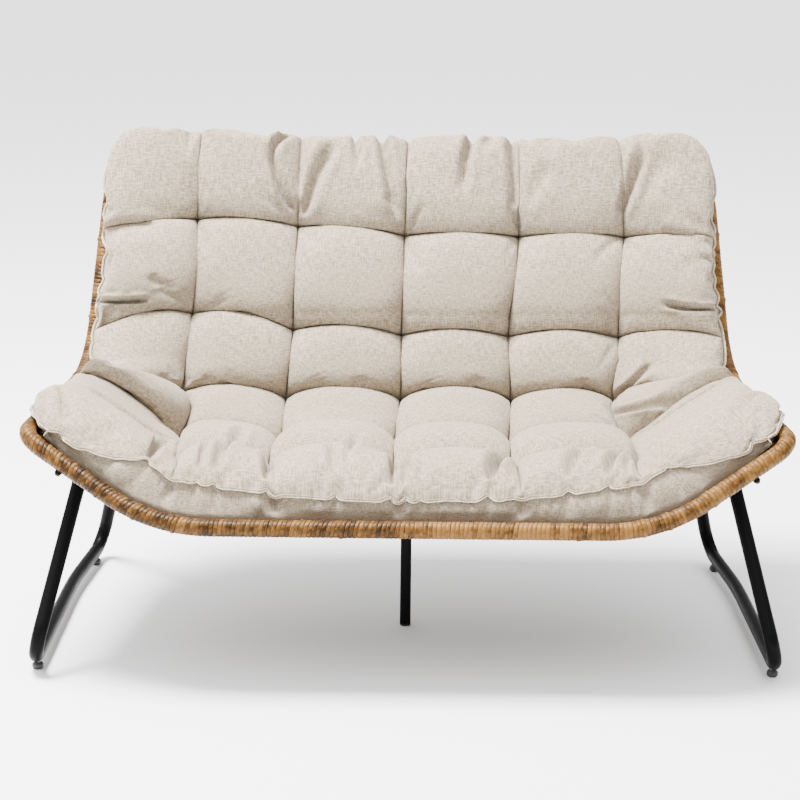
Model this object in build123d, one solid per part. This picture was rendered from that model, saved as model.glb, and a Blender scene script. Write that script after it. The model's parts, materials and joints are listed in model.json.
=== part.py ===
from build123d import *
import math
import os

# Double papasan chair for a patio: a rattan-wrapped steel rim carries a woven bucket shell on steel
# hoops and ribs, two bent tube legs and a centre leg hold it up, and a tufted cushion lies in it.
# Millimetres. +X is to the right as seen from the front, +Y to the back and +Z up. The origin is on
# the floor under the middle of the rim. A setback is a distance behind the front of the rim.

# Rim centre-line: front bend, tip, back corner, top corner and top bend, for the right half. The
# tip is the widest point, and the back corner and the top corner lie inside it and forward of the
# rim's back
rim_front_height = 289.0
rim_front_side_width = 328.0
rim_front_bend_radius = 300.0
rim_front_bend_turn = 35.5
rim_front_plane_tilt = 50.8
rim_tip_half_width = 656.0
rim_tip_radius = 55.0
rim_back_inset = 60.4
rim_back_forward = 233.0
rim_back_height = 430.0
rim_back_radius = 165.0
rim_top_inset = 90.0
rim_top_corner_forward = 35.0
rim_top_corner_rise = 4.0
rim_top_radius = 110.0
rim_top_bend_inset = 266.0
rim_top_bend_radius = 1500.0
rim_depth = 784.0
rim_top_height = 801.0

# Rim tube, its rattan wrap, and where the lengths of the rim are welded end to end
rim_tube_diameter = 25.0
rim_tube_wall = 1.5
wrap_thickness = 2.9
wrap_clearance = 0.1
front_joint_share = 0.2
top_joint_share = 0.55

# Woven shell
shell_thickness = 7.0
seat_corner_forward = 267.0
seat_corner_height = 254.0
seat_corner_radius = 220.0
# Each row pairs a share of the centre profile with a share of the side rail, then gives the width of
# the shell's raised side and the climb of the bend into it, as shares of what they are at the front
station_shares = [
    (0.000, 0.000, 1.000, 1.000),
    (0.015, 0.037, 1.047, 0.928),
    (0.040, 0.074, 1.094, 0.884),
    (0.100, 0.125, 1.054, 0.934),
    (0.175, 0.175, 0.992, 1.010),
    (0.260, 0.245, 1.004, 1.019),
    (0.339, 0.300, 1.045, 0.994),
    (0.400, 0.320, 1.106, 0.937),
    (0.459, 0.345, 1.130, 0.952),
    (0.520, 0.375, 1.105, 1.000),
    (0.578, 0.425, 0.960, 1.195),
    (0.640, 0.505, 0.737, 1.688),
    (0.700, 0.598, 0.716, 1.873),
    (0.800, 0.700, 0.935, 1.567),
    (0.900, 0.830, 1.029, 1.374),
    (0.950, 0.915, 1.151, 1.321),
    (0.985, 0.970, 1.073, 1.465),
    (1.000, 1.000, 1.137, 1.455),
]

# Steel under the shell: rods along it, hoops across it and a bearer between the two lower hoops
seat_clearance = 0.2
rib_diameter = 8.0
rib_spacing = 125.0
ribs_per_side = 2
hoop_diameter = 20.0
hoop_wall = 1.5
front_hoop_share = 0.175
rear_hoop_share = 0.600
back_hoop_share = 0.800
hoop_slope_share = 0.01

# Leg loops, one bent tube on each side. The front leg follows the rim's tip, the rear leg its back
# corner, and the rail between their feet bows outwards
leg_tube_diameter = 25.0
leg_tube_wall = 1.5
rail_height = 27.5
front_leg_top_inset = 93.0
front_foot_inset = 15.1
front_foot_setback = 24.9
front_foot_radius = 42.0
rail_bend_share = 0.66
rail_bend_bow = 12.9
rail_bend_radius = 1500.0
rear_foot_outset = 10.1
rear_foot_forward = 36.0
rear_foot_radius = 40.0
rear_leg_top_inset = 84.6

# Centre leg
centre_leg_diameter = 20.0
centre_leg_wall = 1.5
centre_leg_forward = 39.0
foot_plug_thickness = 3.0
foot_plug_length = 14.0
foot_plug_clearance = 0.1

# Bolted plates between the legs and the steel under the shell
plate_thickness = 4.0
plate_width = 28.0
plate_length = 98.0
plate_corner_radius = 5.0
bolt_diameter = 6.0
bolt_clearance = 0.3
bolt_edge_distance = 9.0
bolt_head_across_flats = 10.0
bolt_head_height = 4.0
bolt_thread_past_nut = 1.5
nut_height = 5.0
washer_diameter = 12.0
washer_thickness = 1.2
thread_clearance = 0.05

# Straps from the front of the rim back to the front hoop, each with one round-headed screw
strap_inset = 73.0
strap_width = 12.0
strap_thickness = 2.5
strap_end = 9.0
strap_clearance = 0.8
strap_fit_steps = 6
screw_head_diameter = 9.0
screw_head_height = 5.0
screw_diameter = 5.0
screw_grip = 9.0

# Screw-in glides under the leg loops
glide_front_from_foot = 74.1
glide_rear_from_foot = 60.0
glide_pad_diameter = 20.0
glide_pad_height = 12.5
glide_pad_foot_share = 0.7
glide_stem_diameter = 8.0
glide_stem_length = 24.0
glide_stem_seat = 6.0
glide_running_clearance = 0.05
insert_diameter = 12.0
insert_length = 9.0
insert_lip = 0.8

# Tufted cushion
cushion_clearance = 0.4
cushion_columns = 6
cushion_column_share = 0.371
cushion_row_shares = [0.0, 0.155, 0.323, 0.493, 0.664, 0.837, 1.0]
cushion_front_gap = 26.0
cushion_top_overhang = 12.0
cushion_crown = 112.0
cushion_seam = 84.0
cushion_tuft = 54.0
cushion_side_height = 60.0
cushion_side_inset = 19.0
cushion_side_bulge = 22.0
cushion_top_inset = 16.0
cushion_corner_inset = 45.0
# Share of a row's length, and how far the cushion has risen there from its seam to its crown
row_rise_shares = [(0.0, 0.0), (0.2, 0.78), (0.5, 1.0), (0.8, 0.78)]
# The same over the half row at each end, where the cushion is drawn in
end_rise_shares = [(0.0, -1.1), (0.1, 0.05), (0.28, 0.75)]

# One overrun serves all cuts
overrun = 30.0

os.makedirs("parts", exist_ok=True)

rim_tube_radius = rim_tube_diameter / 2
wrap_inner_radius = rim_tube_radius + wrap_clearance
wrap_radius = wrap_inner_radius + wrap_thickness
hoop_radius = hoop_diameter / 2
leg_radius = leg_tube_diameter / 2
rib_radius = rib_diameter / 2
half_depth = rim_depth / 2


def at(x, setback, z):
    """A point from its distance to the middle plane, its setback and its height."""
    return Vector(x, setback - half_depth, z)


def mirrored(point):
    return Vector(-point.X, point.Y, point.Z)


def bent_wire(points, radii):
    """Straight runs through the points, joined at each inner point by an arc of its radius."""
    edges = []
    start = points[0]
    for before, corner, after, radius in zip(points, points[1:], points[2:], radii):
        back = (before - corner).normalized()
        ahead = (after - corner).normalized()
        half_turn = math.radians(180 - back.get_angle(ahead)) / 2
        reach = radius * math.tan(half_turn)
        inside = (back + ahead).normalized()
        middle = corner + inside * (radius / math.cos(half_turn) - radius)
        edges.append(Line(start, corner + back * reach))
        edges.append(ThreePointArc(corner + back * reach, middle, corner + ahead * reach))
        start = corner + ahead * reach
    edges.append(Line(start, points[-1]))
    return Wire(edges)


def rod(wire, radius):
    """A round bar along a wire."""
    plane = Plane(origin=wire @ 0, z_dir=wire % 0)
    return sweep(plane * Circle(radius), path=wire)


def tube(wire, outer_radius, inner_radius):
    return rod(wire, outer_radius) - rod(wire, inner_radius)


def both_sides(part):
    return [part, mirror(part, Plane.YZ)]


def write(name, *solids):
    """Write one node: one solid, or several like ones that share the node."""
    children = [solid for part in solids for solid in part.solids()]
    shape = children[0] if len(children) == 1 else Compound(children=children)
    export_step(shape, "parts/" + name + ".step")


# Rim centre-line, as the corner points of the right half from the middle of the front
front_turn = math.radians(rim_front_bend_turn)
front_tilt = math.radians(rim_front_plane_tilt)
rim_front_flat_half = rim_tip_half_width - rim_front_side_width
front_bend_half = rim_front_flat_half + rim_front_bend_radius * math.tan(front_turn / 2)
tip_rise = (rim_tip_half_width - front_bend_half) * math.tan(front_turn)
tip_setback = tip_rise * math.cos(front_tilt)
tip_height = rim_front_height + tip_rise * math.sin(front_tilt)
rim_front_middle = at(0, 0, rim_front_height)
rim_front_bend = at(front_bend_half, 0, rim_front_height)
rim_tip = at(rim_tip_half_width, tip_setback, tip_height)
rim_back_half_width = rim_tip_half_width - rim_back_inset
rim_top_half_width = rim_tip_half_width - rim_top_inset
rim_back_corner = at(rim_back_half_width, rim_depth - rim_back_forward, rim_back_height)
rim_top_corner_height = rim_top_height + rim_top_corner_rise
rim_top_corner = at(rim_top_half_width, rim_depth - rim_top_corner_forward, rim_top_corner_height)
rim_top_bend = at(rim_top_half_width - rim_top_bend_inset, rim_depth, rim_top_height)
rim_front_joint = rim_tip + (rim_back_corner - rim_tip) * front_joint_share
rim_top_joint = rim_back_corner + (rim_top_corner - rim_back_corner) * top_joint_share

right_front = [rim_front_bend, rim_tip, rim_front_joint]
front_points = [mirrored(point) for point in reversed(right_front)] + right_front
front_radii = [rim_tip_radius, rim_front_bend_radius, rim_front_bend_radius, rim_tip_radius]
right_top = [rim_top_bend, rim_top_corner, rim_top_joint]
top_points = [mirrored(point) for point in reversed(right_top)] + right_top
top_radii = [rim_top_radius, rim_top_bend_radius, rim_top_bend_radius, rim_top_radius]

rim_front_wire = bent_wire(front_points, front_radii)
rim_side_wire = bent_wire([rim_front_joint, rim_back_corner, rim_top_joint], [rim_back_radius])
rim_top_wire = bent_wire(top_points, top_radii)

# Centre profile of the shell, and the side rail that its sides climb to
seat_corner = at(0, rim_depth - seat_corner_forward, seat_corner_height)
rim_top_middle = at(0, rim_depth, rim_top_height)
profile = bent_wire([rim_front_middle, seat_corner, rim_top_middle], [seat_corner_radius])


def arc_reach(before, corner, after, radius):
    """Length of straight run that an arc of the radius takes up at a corner."""
    back = (before - corner).normalized()
    ahead = (after - corner).normalized()
    return radius * math.tan(math.radians(180 - back.get_angle(ahead)) / 2)


tip_reach = arc_reach(rim_front_bend, rim_tip, rim_back_corner, rim_tip_radius)
top_reach = arc_reach(rim_back_corner, rim_top_corner, rim_top_bend, rim_top_radius)
rail_start = rim_tip + (rim_front_bend - rim_tip).normalized() * (tip_reach + rim_tube_wall)
rail_end = rim_top_corner + (rim_top_bend - rim_top_corner).normalized() * (top_reach + rim_tube_wall)
rail = bent_wire(
    [rail_start, rim_tip, rim_back_corner, rim_top_corner, rail_end],
    [rim_tip_radius, rim_back_radius, rim_top_radius],
)


# The front end of the rail, as shares of its half-width and of its depth above the rim's front middle
front_depth = math.hypot(rail_start.Y - rim_front_middle.Y, rail_start.Z - rim_front_middle.Z)
front_width_share = (rail_start.X - front_bend_half) / rail_start.X
front_climb_share = rim_front_bend_radius * (1 - math.cos(front_turn)) / front_depth


class Station:
    """A cross-section of the shell, in the plane through a centre point and two rail points."""

    def __init__(self, share):
        row, fraction = self.table_place(share)
        low, high = station_shares[row], station_shares[row + 1]
        values = [a + (b - a) * fraction for a, b in zip(low, high)]
        self.centre = profile @ values[0]
        self.rail = rail @ values[1]
        across = Vector(0, self.rail.Y - self.centre.Y, self.rail.Z - self.centre.Z)
        self.depth = across.length
        self.up = across.normalized()
        along = profile % values[0]
        # A thickness square to the shell is this much longer when it is measured in the plane
        self.slant = 1 / abs(self.up.Y * along.Z - self.up.Z * along.Y)
        self.half_width = self.rail.X
        bend = self.half_width * (1 - values[2] * front_width_share)
        self.turn = math.atan2(self.depth, self.half_width - bend)
        self.radius = values[3] * front_climb_share * self.depth / (1 - math.cos(self.turn))
        self.flat = bend - self.radius * math.tan(self.turn / 2)
        arc_end = bend + self.radius * math.tan(self.turn / 2) * math.cos(self.turn)
        self.side = (self.half_width - arc_end) / math.cos(self.turn)
        self.reach = self.flat + self.radius * self.turn + self.side

    @staticmethod
    def table_place(share):
        rows = range(len(station_shares) - 1)
        row = max(i for i in rows if station_shares[i][0] <= share or i == 0)
        low, high = station_shares[row][0], station_shares[row + 1][0]
        return row, (share - low) / (high - low)

    def local(self, x, height):
        return self.centre + Vector(x, 0, 0) + self.up * height

    def point(self, along, offset):
        """A point by its distance along the section from the middle, and above the shell's middle."""
        side = -1 if along < 0 else 1
        run = abs(along)
        lift = offset * self.slant
        if run <= self.flat:
            return self.local(along, lift)
        arc = self.radius * self.turn
        angle = min(run - self.flat, arc) / self.radius
        past = max(0, run - self.flat - arc)
        x = self.flat + (self.radius - lift) * math.sin(angle) + past * math.cos(angle)
        height = self.radius - (self.radius - lift) * math.cos(angle) + past * math.sin(angle)
        return self.local(side * x, height)

    def outline(self, offset, reach):
        """Edges from left to right at an offset above the shell's middle: side, bend, flat and back."""
        arc_end = self.flat + self.radius * self.turn
        arc_middle = self.flat + self.radius * self.turn / 2
        stops = [-reach, -arc_end, -arc_middle, -self.flat, self.flat, arc_middle, arc_end, reach]
        p = [self.point(stop, offset) for stop in stops]
        return [
            Line(p[0], p[1]),
            ThreePointArc(p[1], p[2], p[3]),
            Line(p[3], p[4]),
            ThreePointArc(p[4], p[5], p[6]),
            Line(p[6], p[7]),
        ]


def shell_section(share):
    station = Station(share)
    below = station.outline(-shell_thickness / 2, station.reach)
    above = station.outline(shell_thickness / 2, station.reach)
    left = Line(above[0] @ 0, below[0] @ 0)
    right = Line(below[-1] @ 1, above[-1] @ 1)
    return Face(Wire(below + [right] + above + [left]))


rim_wires = [rim_front_wire, rim_side_wire, mirror(rim_side_wire, Plane.YZ), rim_top_wire]
wrap_cutter = Part() + [rod(wire, wrap_radius) for wire in rim_wires]

# Stations of the cushion, each with its distance along the profile from the cushion's front end and
# its rise: from the row of tufts at 0 to the crown at 1, and drawn in below the tufts at the two ends
cushion_length = profile.length - cushion_front_gap + cushion_top_overhang
cushion_stations = []
rows = list(zip(cushion_row_shares, cushion_row_shares[1:]))
for row, (low_share, high_share) in enumerate(rows):
    rises = row_rise_shares
    if row == 0:
        rises = end_rise_shares + row_rise_shares[2:]
    if row == len(rows) - 1:
        rises = row_rise_shares[:-1] + [(1 - share, rise) for share, rise in reversed(end_rise_shares)]
    for share, rise in rises:
        cushion_stations.append((cushion_length * (low_share + (high_share - low_share) * share), rise))

# Woven shell. It has a section at each of the cushion's stations, so that the two run parallel
cushion_shares = [(cushion_front_gap + place) / profile.length for place, rise in cushion_stations]
shared = [share for share in cushion_shares if share < 1]
outside = [row[0] for row in station_shares if row[0] < shared[0] or row[0] > shared[-1]]
shell_faces = [shell_section(share) for share in sorted(shared + outside)]
shell = loft(shell_faces, ruled=True) - wrap_cutter
write("woven_shell", shell)


# Ribs and bearer run along the profile, hoops across it, each layer under the one before
rib_drop = shell_thickness / 2 + seat_clearance + rib_radius
hoop_drop = rib_drop + rib_radius + seat_clearance + hoop_radius
bearer_drop = hoop_drop + 2 * hoop_radius + seat_clearance


def profile_line(drop, x, start_share=0, end_share=1):
    """The centre profile at a drop below the shell's middle, moved sideways and cut to a stretch."""
    seat_down = Vector(0, (profile % 0).Z, -(profile % 0).Y)
    back_down = Vector(0, (profile % 1).Z, -(profile % 1).Y)
    corner_down = (seat_down + back_down) / (1 + seat_down.dot(back_down))
    points = [
        profile @ start_share + seat_down * drop,
        seat_corner + corner_down * drop,
        profile @ end_share + back_down * drop,
    ]
    return bent_wire([point + Vector(x, 0, 0) for point in points], [seat_corner_radius + drop])


ribs = []
for step in range(ribs_per_side):
    x = rib_spacing * (step + 1)
    ribs += both_sides(rod(profile_line(rib_drop, x), rib_radius) - wrap_cutter)
write("seat_ribs", *ribs)


class Hoop:
    """A bent tube across the shell, in the plane of one of its sections."""

    def __init__(self, share):
        self.station = Station(share)
        self.next_station = Station(share + hoop_slope_share)
        self.wire = Wire(self.station.outline(-hoop_drop, self.station.reach))

    def solid(self):
        return tube(self.wire, hoop_radius, hoop_radius - hoop_wall) - wrap_cutter

    def seat(self, x):
        """Centre of the hoop at a half-width, its direction, and the direction square to the shell."""
        station = self.station
        bend_radius = station.radius + hoop_drop * station.slant
        sine = min((x - station.flat) / bend_radius, math.sin(station.turn))
        angle = math.asin(sine)
        past = (x - station.flat - bend_radius * sine) / math.cos(angle)
        along = station.flat + station.radius * angle + past
        direction = Vector(math.cos(angle), 0, 0) + station.up * math.sin(angle)
        centre = station.point(along, -hoop_drop)
        down = (self.next_station.point(along, -hoop_drop) - centre).cross(direction).normalized()
        return centre, direction, down


front_hoop = Hoop(front_hoop_share)
rear_hoop = Hoop(rear_hoop_share)
write("front_hoop", front_hoop.solid())
write("rear_hoop", rear_hoop.solid())
write("back_hoop", Hoop(back_hoop_share).solid())

bearer_wire = profile_line(bearer_drop, 0, front_hoop_share, rear_hoop_share)
write("centre_bearer", tube(bearer_wire, hoop_radius, hoop_radius - hoop_wall))

# Bolted joints: a plate welded under the steel, a like plate on the leg, and two bolts through both
bolt_radius = bolt_diameter / 2
bolt_places = [-plate_length / 2 + bolt_edge_distance, plate_length / 2 - bolt_edge_distance]
bolt_grip = 2 * plate_thickness + washer_thickness


class BoltedJoint:
    """Two plates under a bar, square to its downward direction, with a bolt at each end."""

    def __init__(self, centre, direction, down, bar_radius):
        self.down = down
        self.frame = Plane(origin=centre + down * bar_radius, x_dir=direction, z_dir=down)

    def plate(self, layer):
        base = self.frame.offset(layer * plate_thickness)
        outline = RectangleRounded(plate_width, plate_length, plate_corner_radius)
        holes = [Pos(0, y, 0) * Circle(bolt_radius + bolt_clearance) for y in bolt_places]
        return extrude(base * (outline - holes), plate_thickness)

    def leg_side(self):
        """All the space on the bar's side of the leg plate's outer face."""
        side = plate_length + overrun
        return self.frame.offset(2 * plate_thickness) * Pos(0, 0, -side / 2) * Box(side, side, side)

    def fasteners(self, kind):
        return [kind(self.frame * Pos(0, y, 0)) for y in bolt_places]


def hexagon(across_flats):
    return RegularPolygon(across_flats / 2, 6, major_radius=False)


def bolt(place):
    head = extrude(hexagon(bolt_head_across_flats), bolt_head_height)
    length = bolt_grip + nut_height + bolt_thread_past_nut
    shank = extrude(Circle(bolt_radius), -length)
    return place * Pos(0, 0, 2 * plate_thickness) * (head + shank)


def washer(place):
    ring = Circle(washer_diameter / 2) - Circle(bolt_radius + bolt_clearance)
    return place * extrude(ring, -washer_thickness)


def nut(place):
    ring = hexagon(bolt_head_across_flats) - Circle(bolt_radius + thread_clearance)
    return place * Pos(0, 0, -washer_thickness) * extrude(ring, -nut_height)


leg_joints = [
    BoltedJoint(*front_hoop.seat(rim_tip_half_width - front_leg_top_inset), hoop_radius),
    BoltedJoint(*rear_hoop.seat(rim_back_half_width - rear_leg_top_inset), hoop_radius),
]
seat_slope = profile % 0
seat_down = Vector(0, seat_slope.Z, -seat_slope.Y)
bearer_run = (half_depth - centre_leg_forward) / seat_slope.Y
bearer_centre = profile @ 0 + seat_slope * bearer_run + seat_down * bearer_drop
centre_joint = BoltedJoint(bearer_centre, seat_slope, seat_down, hoop_radius)


def at_leg_joints(make):
    parts = [part for joint in leg_joints for part in make(joint)]
    return parts + [mirror(part, Plane.YZ) for part in parts] + list(make(centre_joint))


write("mounting_plates", *at_leg_joints(lambda joint: [joint.plate(0)]))
write("leg_plates", *at_leg_joints(lambda joint: [joint.plate(1)]))
write("leg_bolts", *at_leg_joints(lambda joint: joint.fasteners(bolt)))
write("leg_washers", *at_leg_joints(lambda joint: joint.fasteners(washer)))
write("leg_nuts", *at_leg_joints(lambda joint: joint.fasteners(nut)))

# Leg loops
front_foot = at(rim_tip_half_width - front_foot_inset, front_foot_setback, rail_height)
rear_foot = at(rim_back_half_width + rear_foot_outset, rim_depth - rear_foot_forward, rail_height)
rail_bend = front_foot + (rear_foot - front_foot) * rail_bend_share + Vector(rail_bend_bow, 0, 0)
leg_tops = [joint.frame.origin for joint in leg_joints]
leg_wire = bent_wire(
    [leg_tops[0], front_foot, rail_bend, rear_foot, leg_tops[1]],
    [front_foot_radius, rail_bend_radius, rear_foot_radius],
)
leg = tube(leg_wire, leg_radius, leg_radius - leg_tube_wall)
for joint in leg_joints:
    leg = leg - joint.leg_side()


def on_rail(place):
    """The rail's centre-line point at a place from front to back, level with the tube's underside."""
    ends = (front_foot, rail_bend) if place < rail_bend.Y else (rail_bend, rear_foot)
    share = (place - ends[0].Y) / (ends[1].Y - ends[0].Y)
    point = ends[0] + (ends[1] - ends[0]) * share
    return Vector(point.X, point.Y, rail_height - leg_radius)


glide_places = {
    "front": on_rail(front_foot.Y + glide_front_from_foot),
    "rear": on_rail(rear_foot.Y - glide_rear_from_foot),
}
stem_radius = glide_stem_diameter / 2
insert_radius = insert_diameter / 2
for place in glide_places.values():
    hole = Cylinder(insert_radius + seat_clearance / 2, leg_radius)
    leg = leg - Pos(place) * hole
write("leg_right", leg)
write("leg_left", mirror(leg, Plane.YZ))

# Glides: a threaded insert in the rail, a stem that screws in it and a moulded pad on the stem
insert_ring = Circle(insert_radius) - Circle(stem_radius + glide_running_clearance)
insert = extrude(insert_ring, insert_length)
pad_radius = glide_pad_diameter / 2
pad_outline = [
    (0, 0),
    (pad_radius * glide_pad_foot_share, 0),
    (pad_radius, glide_pad_height * (1 - glide_pad_foot_share)),
    (pad_radius, glide_pad_height * glide_pad_foot_share),
    (pad_radius * glide_pad_foot_share, glide_pad_height),
    (0, glide_pad_height),
]
pad_face = Plane.XZ * make_face(Polyline(*pad_outline, close=True))
pad_hole = Cylinder(stem_radius + thread_clearance, 2 * glide_stem_seat)
pad = revolve(pad_face, Axis.Z) - Pos(0, 0, glide_pad_height) * pad_hole
stem = extrude(Circle(stem_radius), glide_stem_length)
inserts = []
for end, place in glide_places.items():
    floor_point = Pos(place.X, place.Y, 0)
    stem_place = floor_point * Pos(0, 0, glide_pad_height - glide_stem_seat)
    inserts += both_sides(Pos(place) * Pos(0, 0, -insert_lip) * insert)
    for side, pad_part, stem_part in zip(
        ("right", "left"), both_sides(floor_point * pad), both_sides(stem_place * stem)
    ):
        write("glide_pad_" + end + "_" + side, pad_part)
        write("glide_stem_" + end + "_" + side, stem_part)
write("glide_inserts", *inserts)

# Centre leg, trimmed under its plate, with a plug in its foot
centre_radius = centre_leg_diameter / 2
centre_bore = centre_radius - centre_leg_wall
centre_top = centre_joint.frame.origin
centre_foot = Vector(0, centre_top.Y, foot_plug_thickness)
centre_leg = Pos(centre_foot) * extrude(Circle(centre_radius) - Circle(centre_bore), centre_top.Z)
write("centre_leg", centre_leg - centre_joint.leg_side())
plug = extrude(Circle(centre_radius), foot_plug_thickness)
plug += extrude(Circle(centre_bore - foot_plug_clearance), foot_plug_length)
write("centre_foot_plug", Pos(centre_foot.X, centre_foot.Y, 0) * plug)

# Straps from the rim to the front hoop, with the screws that hold them to the rim
strap_half_width = rim_tip_half_width - strap_inset
rim_run = (strap_half_width - front_bend_half) / (rim_tip_half_width - front_bend_half)
rim_point = rim_front_bend + (rim_tip - rim_front_bend) * rim_run
rim_direction = (rim_tip - rim_front_bend).normalized()
hoop_point = front_hoop.seat(strap_half_width)[0]
strap_down = Vector(0, 0, -1)
for _ in range(strap_fit_steps):
    upper = rim_point + strap_down * (wrap_radius + seat_clearance)
    lower = hoop_point + strap_down * (hoop_radius + strap_clearance)
    strap_direction = (lower - upper).normalized()
    strap_down = strap_direction.cross(rim_direction).normalized()
strap_length = (lower - upper).length + 2 * strap_end
strap_frame = Plane(origin=(upper + lower) / 2, x_dir=strap_direction, z_dir=strap_down)
screw_frame = Plane(origin=upper, x_dir=strap_direction, z_dir=strap_down)
screw_radius = screw_diameter / 2
screw_head_radius = screw_head_diameter / 2
screw_hole = screw_frame * Cylinder(screw_radius + bolt_clearance, wrap_radius + overrun)
strap_outline = RectangleRounded(strap_length, strap_width, plate_corner_radius)
strap = extrude(strap_frame * strap_outline, strap_thickness) - screw_hole
write("rim_straps", *both_sides(strap))
screw = extrude(Circle(screw_head_radius), screw_head_height)
screw = fillet(screw.edges().group_by(Axis.Z)[-1], screw_head_height / 2)
screw += extrude(Circle(screw_radius), -(strap_thickness + screw_grip))
write("strap_screws", *both_sides(screw_frame.offset(strap_thickness) * screw))

# Rim, with the holes for the screws in its front length
screw_holes = both_sides(screw_hole)
for node, outer, inner in (
    ("tube", rim_tube_radius, rim_tube_radius - rim_tube_wall),
    ("wrap", wrap_radius, wrap_inner_radius),
):
    side = tube(rim_side_wire, outer, inner)
    write("rim_front_" + node, tube(rim_front_wire, outer, inner) - screw_holes)
    write("rim_right_" + node, side)
    write("rim_left_" + node, mirror(side, Plane.YZ))
    write("rim_top_" + node, tube(rim_top_wire, outer, inner))


# Cushion: one quilted pad. A station's upper side is an arc over each column, so that its tufts are
# where the rows and the columns cross, and its lower side follows the shell
cushion_least_half_width = rim_top_half_width - cushion_top_inset
cushion_column_pitch = cushion_column_share * cushion_least_half_width


def cushion_section(place, rise):
    from_front = cushion_front_gap + place
    past_end = max(0, from_front - profile.length)
    station = Station(min(1, from_front / profile.length))
    lowest = shell_thickness / 2 + cushion_clearance
    base = wrap_radius + cushion_clearance if past_end else lowest
    rounded, drawn = max(0, rise), -min(0, rise)
    fullness = 1 - drawn * (1 - cushion_side_height / cushion_seam)
    valley = cushion_tuft + (cushion_seam - cushion_tuft) * rounded
    crown = cushion_seam + (cushion_crown - cushion_seam) * rounded
    edge = max(station.reach - cushion_side_inset, cushion_least_half_width)
    edge -= drawn * cushion_corner_inset

    def place_at(along, height):
        return station.point(along, height) + (profile % 1) * past_end

    def top_at(along, height):
        return place_at(along, lowest + height * fullness)

    inner = range(1 - cushion_columns // 2, cushion_columns // 2)
    stops = [-edge] + [cushion_column_pitch * column for column in inner] + [edge]
    heights = [cushion_side_height] + [valley] * len(inner) + [cushion_side_height]
    edges = []
    for left, right, left_height, right_height in zip(stops, stops[1:], heights, heights[1:]):
        mean = (left_height + right_height) / 2
        height = mean + (crown - mean) * min(1, (right - left) / cushion_column_pitch)
        middle = top_at((left + right) / 2, height)
        edges.append(ThreePointArc(top_at(left, left_height), middle, top_at(right, right_height)))
    for side in (-edge, edge):
        bulge = side + math.copysign(cushion_side_bulge, side)
        low, high = place_at(side, base), top_at(side, cushion_side_height)
        middle_height = (base + lowest + cushion_side_height * fullness) / 2
        edges.append(ThreePointArc(low, place_at(bulge, middle_height), high))
    edges += [line.moved(Location((profile % 1) * past_end)) for line in station.outline(base, edge)]
    return Face(Wire(edges))


cushion = loft([cushion_section(*station) for station in cushion_stations], ruled=True)
for wire in rim_wires:
    cushion = cushion - rod(wire, wrap_radius + cushion_clearance)
write("cushion", cushion)
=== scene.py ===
"""Dresses the double papasan chair: wound rim, woven shell, quilted cushion, steelwork and the stage."""
import json
import math

import bpy
import numpy as np
from bpy.props import FloatProperty, FloatVectorProperty, PointerProperty
from bpy.types import Operator, Panel, PropertyGroup
from mathutils import Matrix


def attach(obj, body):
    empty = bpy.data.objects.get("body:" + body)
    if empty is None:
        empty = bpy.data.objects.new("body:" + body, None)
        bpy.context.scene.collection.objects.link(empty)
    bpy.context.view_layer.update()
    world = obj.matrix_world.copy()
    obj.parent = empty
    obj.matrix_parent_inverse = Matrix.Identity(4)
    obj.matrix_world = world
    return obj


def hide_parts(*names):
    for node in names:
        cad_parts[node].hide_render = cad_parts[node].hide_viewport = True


bl_info = {
    "name": "Double papasan chair",
    "version": (1, 0, 0),
    "blender": (4, 5, 0),
    "location": "3D View > Sidebar > Papasan",
    "description": "Builds the rim, shell, cushion, steelwork and stage of a papasan chair",
    "category": "Object",
}

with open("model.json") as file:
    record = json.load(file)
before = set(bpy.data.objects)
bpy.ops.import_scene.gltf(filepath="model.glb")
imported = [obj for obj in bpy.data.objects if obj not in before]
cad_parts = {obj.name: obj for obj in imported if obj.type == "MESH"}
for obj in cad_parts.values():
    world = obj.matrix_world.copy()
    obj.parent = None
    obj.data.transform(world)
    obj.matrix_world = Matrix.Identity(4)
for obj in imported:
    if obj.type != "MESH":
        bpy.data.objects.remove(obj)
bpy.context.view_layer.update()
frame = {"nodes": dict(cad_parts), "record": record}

# Form of the chair in metres, as the frame has it: setbacks run from the front of the rim
HALF_DEPTH = 0.392
RIM_CORNERS = [
    # half-width, setback, height, bend radius
    (0.424, 0.0, 0.289, 0.300),
    (0.656, 0.1047, 0.4174, 0.055),
    (0.5956, 0.551, 0.430, 0.165),
    (0.566, 0.749, 0.805, 0.110),
    (0.300, 0.784, 0.801, 1.500),
]
SEAT_CORNER = (0.0, 0.517, 0.254)
SEAT_RADIUS = 0.220
TOP_MIDDLE = (0.0, 0.784, 0.801)
FRONT_MIDDLE = (0.0, 0.0, 0.289)
# Share of the centre profile, share of the side rail, and the width of the shell's raised side and the
# climb of the bend into it, both as shares of what they are at the front
SECTIONS = np.array([
    (0.000, 0.000, 1.000, 1.000), (0.015, 0.037, 1.047, 0.928), (0.040, 0.074, 1.094, 0.884),
    (0.100, 0.125, 1.054, 0.934), (0.175, 0.175, 0.992, 1.010), (0.260, 0.245, 1.004, 1.019),
    (0.339, 0.300, 1.045, 0.994), (0.400, 0.320, 1.106, 0.937), (0.459, 0.345, 1.130, 0.952),
    (0.520, 0.375, 1.105, 1.000), (0.578, 0.425, 0.960, 1.195), (0.640, 0.505, 0.737, 1.688),
    (0.700, 0.598, 0.716, 1.873), (0.800, 0.700, 0.935, 1.567), (0.900, 0.830, 1.029, 1.374),
    (0.950, 0.915, 1.151, 1.321), (0.985, 0.970, 1.073, 1.465), (1.000, 1.000, 1.137, 1.455),
])
FRONT_SIDE_SHARE = 0.31688
FRONT_CLIMB_SHARE = 0.39746
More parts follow.
